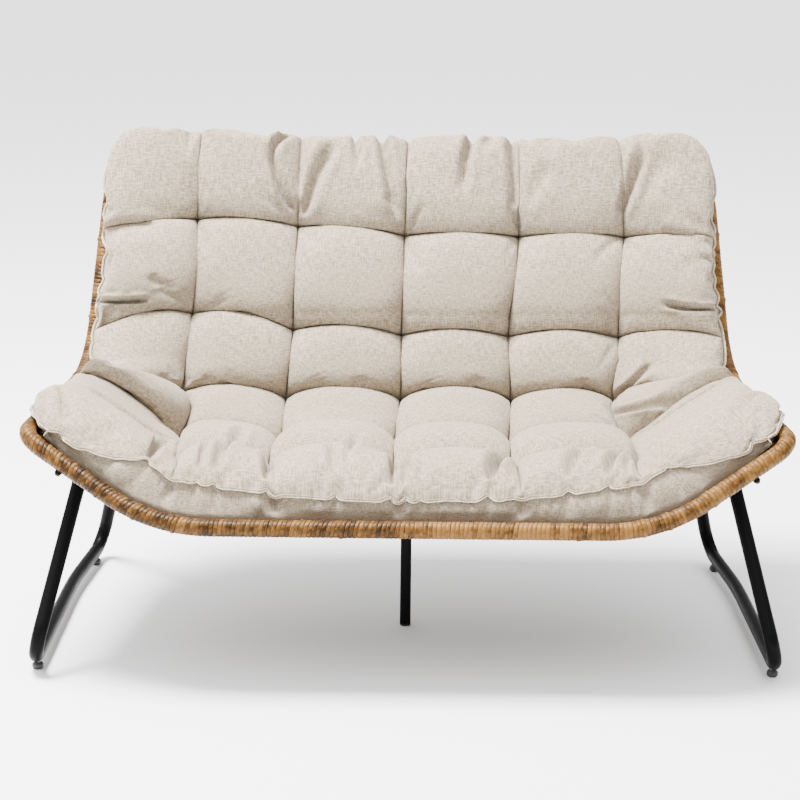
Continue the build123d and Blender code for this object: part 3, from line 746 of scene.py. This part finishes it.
def swell(share, power=PUFF_POWER, seam_first=False, seam_last=False):
    """From 0 at both ends of a puff to 1 at its middle: steep at a crease, gentler towards a seam."""
    inside = np.maximum(0, 1 - abs(2 * share - 1) ** power)
    gentle = (seam_first & (share < 0.5)) | (seam_last & (share > 0.5))
    return np.where(gentle, inside ** SEAM_POWER, np.sqrt(inside))


def shell_places(place, along, height):
    """Points above the shell, all three given for each point."""
    shape = np.shape(place)
    flat = [np.broadcast_to(value, shape).ravel() for value in (place, along, height)]
    return Sections(flat[0]).points(flat[1][:, None], flat[2][:, None])[:, 0].reshape(*shape, 3)


# How even the grid's steps are: 1 gives equal ones, and 0 the closest ones near the creases
EVEN_SHARE = 0.45


class QuiltForm:
    """The cushion before its cloth is simulated: a grid that runs along the creases, closer near them."""

    def __init__(self, settings, cells, draw):
        rows = len(ROW_PLACES) - 1
        fine = (1 - np.cos(np.linspace(0, math.pi, cells, endpoint=False))) / 2
        fine = (1 - EVEN_SHARE) * fine + EVEN_SHARE * np.linspace(0, 1, cells, endpoint=False)
        self.u = np.append((np.arange(rows)[:, None] + fine).ravel(), rows)
        self.v = np.append((np.arange(COLUMNS)[:, None] + fine).ravel(), COLUMNS)
        u, v = np.meshgrid(self.u, self.v, indexing="ij")
        self.rows, self.columns = u.shape
        self.row, self.column = np.minimum(u.astype(int), rows - 1), np.minimum(v.astype(int), COLUMNS - 1)
        self.p, self.q = u - self.row, v - self.column
        self.lay_out(u, v)
        self.height = self.filled(settings, cells, draw)
        lifted = SEAM_LIFT * (1 - smooth_step(self.p / SEAM_LIFT_RUN)) * (self.row == 0)
        self.height -= (self.pleats(draw) + self.folds()) * (1 - lifted)
        self.height = np.maximum(self.height, LOWEST)
        self.pins = (abs(u - np.round(u)) < PIN_SHARE) & (abs(v - np.round(v)) < PIN_SHARE)

    def lay_out(self, u, v):
        """Where each point lies over the shell: along the profile and from the middle, and its seam."""
        rows, half = len(ROW_PLACES) - 1, COLUMNS // 2
        place = np.interp(u, np.arange(rows + 1), ROW_PLACES)
        place = place + np.interp(u, np.arange(rows + 1), ROW_ARCHES) * (1 - (2 * self.q - 1) ** 2)
        near = np.clip(place - ROW_PLACES[0], 0, CORNER)
        rounding = CORNER - np.sqrt(CORNER ** 2 - (CORNER - near) ** 2)
        edge = np.interp(place, *zip(*EDGES)) - rounding
        away = abs(v - half)
        run = np.minimum(away, half - 1) * COLUMN_PITCH
        outer = np.maximum(0, away - (half - 1))
        outer += BULGE * np.sin(math.pi * outer ** 4)
        run += outer * (edge - (half - 1) * COLUMN_PITCH)
        self.place = place + self.between(TUFT_SETBACKS)
        self.along = np.sign(v - half) * run + self.between(TUFT_SHIFTS)
        front_seam = np.interp(abs(self.along), *zip(*FRONT_SEAM))
        side_seam = np.interp(place, *zip(*SIDE_SEAM))
        self.seam = np.where(place < 0.5 * (ROW_PLACES[0] + ROW_PLACES[1]), front_seam, side_seam)
        self.seam = np.where(u > rows - 0.5, TOP_SEAM, self.seam)
        slumped = 1 - smooth_step((place - SLUMP_END) / SLUMP_FADE)
        self.slumped = slumped * smooth_step((away - half + SLUMP_INSET) / SLUMP_WIDTH)

    def corners(self, table):
        """A table's values at the four tufts round each point: front left and right, back left and right."""
        row, column = self.row, self.column
        return table[row, column], table[row, column + 1], table[row + 1, column], table[row + 1, column + 1]

    def between(self, table):
        """A table of one value for each tuft, blended from tuft to tuft."""
        front_left, front_right, back_left, back_right = self.corners(table)
        front = front_left * (1 - self.q) + front_right * self.q
        return front * (1 - self.p) + (back_left * (1 - self.q) + back_right * self.q) * self.p

    def filled(self, settings, cells, draw):
        """Height of the puffs above the shell, from their tufts, creases, seam and crowns."""
        p, q, row, column, rows = self.p, self.q, self.row, self.column, len(ROW_PLACES) - 1
        tuft = np.full((rows + 1, COLUMNS + 1), settings.tuft_height)
        tuft += draw.normal(0, TUFT_SPREAD, tuft.shape)
        rim = np.zeros_like(tuft, bool)
        rim[[0, -1]] = rim[:, [0, -1]] = True
        tuft = np.where(rim, self.seam[::cells, ::cells], tuft)
        crowns = np.array(ROW_CROWNS)[:, None] + draw.normal(0, CROWN_SPREAD, (rows, COLUMNS))
        crowns[:, [0, -1]] = OUTER_CROWNS

        def line(first, last, share, crest):
            straight = first + (last - first) * share
            return straight + np.maximum(0, crest - straight) * swell(share, CREASE_POWER)

        crease = settings.crease_share * np.array(COLUMN_CREASES)[row]
        creases = settings.crease_share * np.array(ROW_CREASES)
        front_left, front_right, back_left, back_right = self.corners(tuft)
        front = line(front_left, front_right, q, creases[row])
        back = line(back_left, back_right, q, creases[row + 1])
        left = line(front_left, back_left, p, crease)
        right = line(front_right, back_right, p, crease)
        front = np.where(row == 0, self.seam, front)
        back = np.where(row == rows - 1, self.seam, back)
        left = np.where(column == 0, self.seam, left)
        right = np.where(column == COLUMNS - 1, self.seam, right)
        edges = (1 - p) * front + p * back + (1 - q) * left + q * right
        blend = (1 - p) * ((1 - q) * front_left + q * front_right)
        blend += p * ((1 - q) * back_left + q * back_right)
        ground = edges - blend
        down = swell(p, PUFF_POWER, row == 0, row == rows - 1)
        over = swell(q) * (1 - SLUMP * self.slumped)
        return ground + (crowns[row, column] - ground) * down * over

    def folds(self):
        """Depth of the folds that are seen in the cover, each with a low ridge beside it."""
        depth = np.zeros(self.place.shape)
        for place, along, end_place, end_along, deep, wide in np.array(FOLDS) / 1000:
            run = np.array((end_place - place, end_along - along))
            length = np.linalg.norm(run)
            run = run / length
            ahead, aside = self.place - place, self.along - along
            share = (ahead * run[0] + aside * run[1]) / length
            off = (ahead * run[1] - aside * run[0]) / (FOLD_WIDTH * wide)
            bow = off + FOLD_BOW * np.sin(share * math.pi)
            fade = smooth_step(share / FOLD_END + 0.5) * smooth_step((1 - share) / FOLD_END + 0.5)
            ridge = FOLD_RIDGE * np.exp(-(abs(bow) - FOLD_RIDGE_PLACE) ** 2)
            depth += FOLD_DEPTH * deep * fade * (np.exp(-bow ** 2) - ridge)
        return depth

    def pleats(self, draw):
        """Depth of the folds that run from the tufts, most of them from the outer ones."""
        depth = np.zeros(self.place.shape)
        rows = len(ROW_PLACES) - 1
        for row in range(rows + 1):
            for column in range(COLUMNS + 1):
                edge_row, edge_column = row in (0, rows), column in (0, COLUMNS)
                if edge_row and edge_column:
                    continue
                outer = row in (1, rows - 1) or column in (1, COLUMNS - 1) or edge_row or edge_column
                at_u, at_v = np.argmin(abs(self.u - row)), np.argmin(abs(self.v - column))
                ahead = self.place - self.place[at_u, at_v]
                aside = self.along - self.along[at_u, at_v]
                distance = np.hypot(ahead, aside)
                bearing = np.arctan2(aside, ahead)
                share = 1.0 if outer else INNER_PLEAT
                for _ in range(draw.integers(*(OUTER_PLEATS if outer else INNER_PLEATS))):
                    heading = draw.uniform(-math.pi, math.pi)
                    length = draw.uniform(*PLEAT_LENGTHS) * share
                    deep = draw.uniform(*PLEAT_DEPTHS) * share
                    curl = PLEAT_CURL * (distance - PLEAT_LENGTHS[0])
                    turn = (bearing - heading + math.pi + curl) % (2 * math.pi) - math.pi
                    narrow = np.exp(-((turn * np.maximum(distance, PLEAT_NARROWS)) / PLEAT_WIDTH) ** 2)
                    fade = smooth_step(distance / PLEAT_DEEPENS) * (1 - smooth_step(distance / length))
                    depth += deep * narrow * fade
        return depth


# Cells along a puff in the form that is simulated; the drawn form has twice as many
CELLS = 22
QUILT_SEED = 23


class PAPASAN_OT_cushion(Operator):
    """Makes the quilted cushion: cut, filled and let settle as cloth, with its welted seam"""

    bl_idname = "papasan.cushion"
    bl_label = "Cushion"

    def execute(self, context):
        settings = context.scene.papasan_cushion
        cells = CELLS
        coarse = QuiltForm(settings, cells, np.random.default_rng(QUILT_SEED))
        shift = np.zeros((coarse.rows, coarse.columns, 3))
        shift = self.settle(coarse, settings)
        form = QuiltForm(settings, 2 * cells, np.random.default_rng(QUILT_SEED))
        for axis, old, fine in ((0, coarse.u, form.u), (1, coarse.v, form.v)):
            place = np.interp(fine, old, np.arange(len(old)))
            low = np.minimum(place.astype(int), len(old) - 2)
            share = (place - low).reshape((-1, 1, 1) if axis == 0 else (1, -1, 1))
            share = smooth_step(share) * 0.5 + share * 0.5
            shift = np.take(shift, low, axis) * (1 - share) + np.take(shift, low + 1, axis) * share
        points, faces, maps, loop, ring = cushion_mesh(form, shift)
        linen = linen_finish(settings)
        piece = new_piece("quilted_cushion", points, faces, "cushion", "cushion_fabric", linen, maps)
        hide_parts("cushion")
        # The welt's linen is painted 1.5 times paler than the cushion's: a painted highlight for the bright
        # lines along the welt
        welt(linen_finish(settings, "welt_linen_painted_highlight", 1.5), points, loop, ring)
        return {"FINISHED"}

    def settle(self, form, settings):
        """How far the cover's points move when the filling presses against it, within a limit."""
        points, faces, _, loop, _ = cushion_mesh(form, np.zeros((form.rows, form.columns, 3)))
        mesh = bpy.data.meshes.new("cover")
        mesh.from_pydata(points.tolist(), [], faces.tolist())
        cover_piece = bpy.data.objects.new("cover", mesh)
        scene = bpy.context.scene
        scene.collection.objects.link(cover_piece)
        count = form.rows * form.columns
        held = np.flatnonzero(form.pins).tolist() + list(range(count, len(points)))
        cover_piece.vertex_groups.new(name="held").add(held, 1.0, "REPLACE")
        cloth = cover_piece.modifiers.new("cloth", "CLOTH")
        cover = cloth.settings
        cover.quality = 6
        cover.mass = 0.25
        cover.tension_stiffness = cover.compression_stiffness = 18
        cover.shear_stiffness = 4
        cover.bending_stiffness = 0.15
        cover.air_damping = 2
        cover.use_pressure = True
        cover.uniform_pressure_force = settings.puff_pressure
        cover.vertex_group_mass = "held"
        cover.shrink_min = -FULLNESS
        cover.effector_weights.gravity = 0
        for frame_number in range(1, CLOTH_FRAMES + 1):
            scene.frame_set(frame_number)
        settled = cover_piece.evaluated_get(bpy.context.evaluated_depsgraph_get())
        moved = np.zeros(len(points) * 3)
        settled.data.vertices.foreach_get("co", moved)
        shift = (moved.reshape(-1, 3) - points)[:count]
        far = np.linalg.norm(shift, axis=1, keepdims=True)
        shift *= FABRIC_TRAVEL * np.tanh(far / FABRIC_TRAVEL) / np.maximum(far, 1e-9)
        bpy.data.objects.remove(cover_piece)
        bpy.data.meshes.remove(mesh)
        scene.frame_set(1)
        return shift.reshape(form.rows, form.columns, 3)


# How far the cloth may move the cover, how much wider it is cut than its form, and the frames it settles in
FABRIC_TRAVEL = 0.016
FULLNESS = 0.045
CLOTH_FRAMES = 20
# Where in the top row its puffs start to bend over, as a share of it, and how long that bend leads on
TOP_TURN = 0.66
TOP_LEAD = 0.007
# How far the base sheet ends inside the seam, at the front and top and, as a share, at the sides, and how
# high it is lifted over the rim's top, and where
BASE_INSET = 0.014
SIDE_SHARE = 0.06
TOP_LIFT = 0.0165
TOP_LIFT_START = 1.045
TOP_LIFT_RUN = 0.03
# Distance out of the boxing's rings from the seam's line, at the front and the top and then along the
# sides, and their share of the seam's height
BOXING = ((-0.012, -0.020, 0.22), (-0.005, -0.008, 0.48), (-0.003, -0.003, 0.78))
# From this share of the seam's height on a ring is free of the base, how much higher it lies at least, and
# the distance between rings in the map
FREE_SHARE = 0.3
FREE_RISE = 0.005
RING_STEP = 0.012
# How far the free rings are pulled in where a crease meets the seam, over this share of a puff, and their
# puckers: how deep and how many
PINCH_DEPTH = 0.011
PINCH_SHARE = 0.05
PUCKER_DEPTH = 0.0026
PUCKERS = 121
PUCKER_SEED = 31


def cushion_mesh(form, shift):
    """Points, faces and map of the closed cushion: top, base and boxing, and the seam's points."""
    rows, columns = form.rows, form.columns
    count = rows * columns
    loop = edge_loop(rows, columns)
    top = (round_top(form, shell_places(form.place, form.along, BASE + form.height)) + shift).reshape(-1, 3)
    middle = (ROW_PLACES[0] + ROW_PLACES[-1]) / 2
    base_place = middle + (form.place - middle) * (1 - 2 * BASE_INSET / (ROW_PLACES[-1] - ROW_PLACES[0]))
    base_along = form.along * (1 - SIDE_SHARE)
    lift = BASE + TOP_LIFT * smooth_step((base_place - TOP_LIFT_START) / TOP_LIFT_RUN)
    base = shell_places(base_place, base_along, lift).reshape(-1, 3)
    s, a = form.place.ravel()[loop], form.along.ravel()[loop]
    step = np.stack([np.roll(s, -3) - np.roll(s, 3), np.roll(a, -3) - np.roll(a, 3)], -1)
    out = unit(np.stack([-step[:, 1], step[:, 0]], -1))
    seam = BASE + form.height.ravel()[loop]
    u, v = (axis.ravel()[loop] for axis in np.meshgrid(form.u, form.v, indexing="ij"))
    across = np.where((u == 0) | (u == len(ROW_PLACES) - 1), v, u)
    pinch = np.exp(-((across - np.round(across)) / PINCH_SHARE) ** 2)
    puckers = np.random.default_rng(PUCKER_SEED).normal(0, PUCKER_DEPTH, PUCKERS)
    puckers = np.interp(np.linspace(0, 1, len(loop)), np.linspace(0, 1, PUCKERS), puckers)
    drop = shift.reshape(-1, 3)[loop]
    rings = []
    for distance, side_distance, share in BOXING:
        free = float(share > FREE_SHARE)
        distance = distance + (side_distance - distance) * abs(out[:, 1])
        reach = distance - free * (pinch * PINCH_DEPTH + puckers)
        height = np.maximum(seam * share, TOP_LIFT + free * FREE_RISE)
        rings.append(shell_places(s + out[:, 0] * reach, a + out[:, 1] * reach, height) + drop * share)
    faces = [sheet_faces(rows, columns), sheet_faces(rows, columns)[:, ::-1] + count]
    first = 2 * count + len(loop) * np.arange(len(BOXING))
    ids = [loop + count, *(start + np.arange(len(loop)) for start in first), loop]
    for low, high in zip(ids, ids[1:]):
        faces.append(np.stack([low, np.roll(low, -1), np.roll(high, -1), high], -1))
    maps = np.stack([form.along, form.place], -1).reshape(-1, 2)
    levels = range(len(BOXING))
    sides = [maps[loop] + out[:, ::-1] * RING_STEP * (len(BOXING) - level) for level in levels]
    maps = np.concatenate([maps, maps, *sides])
    return np.concatenate([top, base, *rings]), np.concatenate(faces), maps, loop, ids[-2]


def round_top(form, points):
    """Bends the top row's puffs over to the seam in one curve."""
    start = np.argmax(form.u > len(ROW_PLACES) - 2 + TOP_TURN)
    first, last = points[start], points[-1]
    share = ((form.u[start:] - form.u[start]) / (form.u[-1] - form.u[start]))[:, None, None]
    lead = TOP_LEAD * unit((first - points[start - 4]).mean(0))
    rest = 1 - share
    curve = rest ** 3 * first + 3 * share * rest ** 2 * (first + lead)
    curve += 3 * share ** 2 * rest * (last + (0.0, 0.0, TOP_LEAD)) + share ** 3 * last
    inner = smooth_step(np.minimum(form.v, COLUMNS - form.v) / 0.5)[:, None]
    points[start:] += (curve - points[start:]) * inner * (0.0, 1.0, 1.0)
    return points


def edge_loop(rows, columns):
    """The grid's outline: along its front from left to right, and round."""
    front = np.arange(columns)
    right = np.arange(1, rows) * columns + columns - 1
    back = np.arange(columns - 2, -1, -1) + (rows - 1) * columns
    left = np.arange(rows - 2, 0, -1) * columns
    return np.concatenate([front, right, back, left])


def edge_neighbours(loop):
    """For each point of the outline, the grid's point just inside it."""
    columns = loop[np.argmax(np.diff(loop) != 1)] + 1
    rows = loop.max() // columns + 1
    row, column = np.divmod(loop, columns)
    return np.clip(row, 1, rows - 2) * columns + np.clip(column, 1, columns - 2)


# The welt's section, with the stitched groove along its middle, and its size
WELT_SECTION = [
    (-0.8, -1.0), (-1.1, 0.4), (-0.75, 0.95), (-0.16, 0.1),
    (0.16, 0.1), (0.75, 0.95), (1.1, 0.4), (0.8, -1.0),
]
WELT_HALF_WIDTH = 0.0029
WELT_HALF_HEIGHT = 0.0028
WELT_RISE = 0.0032
WELT_STEP = 0.004
# How far it waves to the sides, and how often
WELT_WAVE = 0.0009
WELT_WAVES = 150
WELT_SEED = 37


def welt(finish, points, loop, ring):
    """The narrow welt that stands out along the seam, with a stitched groove along its middle."""
    line = points[loop]
    slope = unit(points[edge_neighbours(loop)] - line) - unit(points[ring] - line)
    out = unit(np.cross(np.roll(line, -1, 0) - np.roll(line, 1, 0), slope))
    path = Path(line, closed=True)
    steps = int(path.length / WELT_STEP)
    place = np.linspace(0, path.length, steps, endpoint=False)
    waves = np.random.default_rng(WELT_SEED).normal(0, WELT_WAVE, WELT_WAVES)
    waves = np.interp(place, np.linspace(0, path.length, WELT_WAVES), waves)
    way = np.stack([np.interp(place, path.places, np.append(axis, axis[0])) for axis in out.T], -1)
    centre = path.at(place)
    tangent = unit(np.roll(centre, -2, 0) - np.roll(centre, 2, 0))
    side = unit(np.cross(tangent, way))
    up = np.cross(side, tangent)
    centre = centre + side * waves[:, None]
    points = np.stack([
        centre + side * (x * WELT_HALF_WIDTH) + up * (WELT_RISE + y * WELT_HALF_HEIGHT)
        for x, y in WELT_SECTION
    ], 1)
    around = len(WELT_SECTION)
    faces = sheet_faces(steps, around, closed=True)
    last, first = np.arange(around) + (steps - 1) * around, np.arange(around)
    faces = np.concatenate([faces, np.stack([last, np.roll(last, -1), np.roll(first, -1), first], -1)])
    maps = np.stack(np.broadcast_arrays(place[:, None], np.arange(around) * MAP_STEP), -1)
    piece = new_piece("seam_welt", points, faces, "cushion", "cushion_fabric", finish, maps)
    smooth = piece.modifiers.new("smooth", "SUBSURF")
    smooth.levels = smooth.render_levels = 1


class PAPASAN_OT_steelwork(Operator):
    """Gives the tubes, rods, plates, fasteners and glides their finishes"""

    bl_idname = "papasan.steelwork"
    bl_label = "Steelwork"

    def execute(self, context):
        settings = context.scene.papasan_steel
        finishes = {
            "powder_coat": powder_coat_finish(settings),
            "fastener_steel": steel_finish("black_zinc", (0.05, 0.05, 0.052, 1.0), 0.3, 0.5),
            "zinc_steel": steel_finish("bright_zinc", settings.zinc[:], 0.22, 0.42),
            "bare_steel_tube": steel_finish("bare_tube", (0.07, 0.062, 0.055, 1.0), 0.4, 0.6),
            "glide_plastic": moulded_finish(settings),
        }
        slots = {part["node"]: part["material_slot"] for part in frame["record"]["subparts"]}
        for node, piece in frame["nodes"].items():
            finish = finishes.get(slots[node])
            if finish is None:
                continue
            if not piece.material_slots:
                piece.data.materials.append(finish)
            for slot in piece.material_slots:
                slot.material = finish
        return {"FINISHED"}


FLOOR_HALF = 40.0
# Where the lights aim, and the sky's brightest direction with its shades from the side and along it
LIT_PLACE = (0.0, 0.0, 0.4)
SKY_DIRECTION = (-0.30, -0.10, 0.95)
SKY_SHADES = ((0.35, 0.17), (0.98, 1.0))
# The photograph's camera, with its angles in degrees and its lens and sensor in millimetres
CAMERA_PLACE = (-0.014, -4.253, 1.476)
CAMERA_PITCH = 14.0
CAMERA_ROLL = 0.63
LENS = 108.5
SENSOR_WIDTH = 36.0


class PAPASAN_OT_stage(Operator):
    """Sets the floor, the lights and the camera"""

    bl_idname = "papasan.stage"
    bl_label = "Stage"

    def execute(self, context):
        settings = context.scene.papasan_stage
        scene = context.scene
        floor_mesh = bpy.data.meshes.new("studio_floor")
        corners = [(x * FLOOR_HALF, y * FLOOR_HALF, 0) for x, y in ((-1, -1), (1, -1), (1, 1), (-1, 1))]
        floor_mesh.from_pydata(corners, [], [(0, 1, 2, 3)])
        floor = bpy.data.objects.new("studio_floor", floor_mesh)
        scene.collection.objects.link(floor)
        paint = Finish("pale_floor", 0.7, settings.floor[:])
        paint.set(Specular_IOR_Level=0.2)
        floor_mesh.materials.append(paint.material)
        scene.world = studio_world(settings.sky)
        for name, power, size, place in (
            ("key_light", settings.key_power, 1.4, (-1.4, 0.0, 4.4)),
            ("fill_light", settings.fill_power, 3.0, (2.8, -2.6, 2.2)),
        ):
            light = bpy.data.lights.new(name, "AREA")
            light.energy, light.size = power, size
            lamp = bpy.data.objects.new(name, light)
            scene.collection.objects.link(lamp)
            lamp.matrix_world = look_matrix(place, np.array(LIT_PLACE) - np.array(place))
        view = bpy.data.cameras.new("camera")
        view.sensor_width, view.lens, view.clip_end = SENSOR_WIDTH, LENS, 100.0
        camera = bpy.data.objects.new("camera", view)
        scene.collection.objects.link(camera)
        camera.matrix_world = (
            Matrix.Translation(CAMERA_PLACE)
            @ Matrix.Rotation(math.radians(90) - math.radians(CAMERA_PITCH), 4, "X")
            @ Matrix.Rotation(math.radians(CAMERA_ROLL), 4, "Z")
        )
        scene.camera = camera
        return {"FINISHED"}


def studio_world(strength):
    """Surroundings that are brightest overhead."""
    world = bpy.data.worlds.new("studio")
    world.use_nodes = True
    nodes, links = world.node_tree.nodes, world.node_tree.links
    direction = nodes.new("ShaderNodeTexCoord")
    aim = nodes.new("ShaderNodeVectorMath")
    aim.operation = "DOT_PRODUCT"
    aim.inputs[1].default_value = SKY_DIRECTION
    glow = nodes.new("ShaderNodeValToRGB")
    for element, (place, shade_there) in zip(glow.color_ramp.elements, SKY_SHADES):
        element.position, element.color = place, (shade_there, shade_there, shade_there, 1)
    links.new(direction.outputs["Generated"], aim.inputs[0])
    links.new(aim.outputs["Value"], glow.inputs["Fac"])
    background = nodes["Background"]
    links.new(glow.outputs["Color"], background.inputs["Color"])
    background.inputs["Strength"].default_value = strength
    return world


def look_matrix(place, direction):
    """A light's placing, with its beam along the direction."""
    back = -unit(direction)
    side = unit(np.cross((0.0, 0.0, 1.0), back))
    axes = np.stack([side, np.cross(back, side), back, place], -1)
    return Matrix([*axes.tolist(), (0.0, 0.0, 0.0, 1.0)])


class PAPASAN_PT_panel(Panel):
    """Lists the chair's pieces in the sidebar"""

    bl_label = "Double papasan chair"
    bl_idname = "PAPASAN_PT_panel"
    bl_space_type = "VIEW_3D"
    bl_region_type = "UI"
    bl_category = "Papasan"

    def draw(self, context):
        layout = self.layout
        for operator in OPERATORS:
            layout.operator(operator.bl_idname)
        for name in SETTINGS:
            box = layout.box()
            group = getattr(context.scene, name)
            for key in group.__annotations__:
                box.prop(group, key)


OPERATORS = [
    PAPASAN_OT_steelwork, PAPASAN_OT_rim_wrap, PAPASAN_OT_woven_shell, PAPASAN_OT_cushion, PAPASAN_OT_stage,
]
SETTINGS = {
    "papasan_rattan": PapasanRattan, "papasan_cushion": PapasanCushion, "papasan_steel": PapasanSteel,
    "papasan_stage": PapasanStage,
}


def register():
    for group in SETTINGS.values():
        bpy.utils.register_class(group)
    for operator in OPERATORS:
        bpy.utils.register_class(operator)
    bpy.utils.register_class(PAPASAN_PT_panel)
    for name, group in SETTINGS.items():
        setattr(bpy.types.Scene, name, PointerProperty(type=group))


def unregister():
    for name in SETTINGS:
        delattr(bpy.types.Scene, name)
    bpy.utils.unregister_class(PAPASAN_PT_panel)
    for group in [*OPERATORS, *SETTINGS.values()]:
        bpy.utils.unregister_class(group)


def main():
    register()
    for operator in OPERATORS:
        family, name = operator.bl_idname.split(".")
        getattr(getattr(bpy.ops, family), name)()


if __name__ == "__main__":
    main()
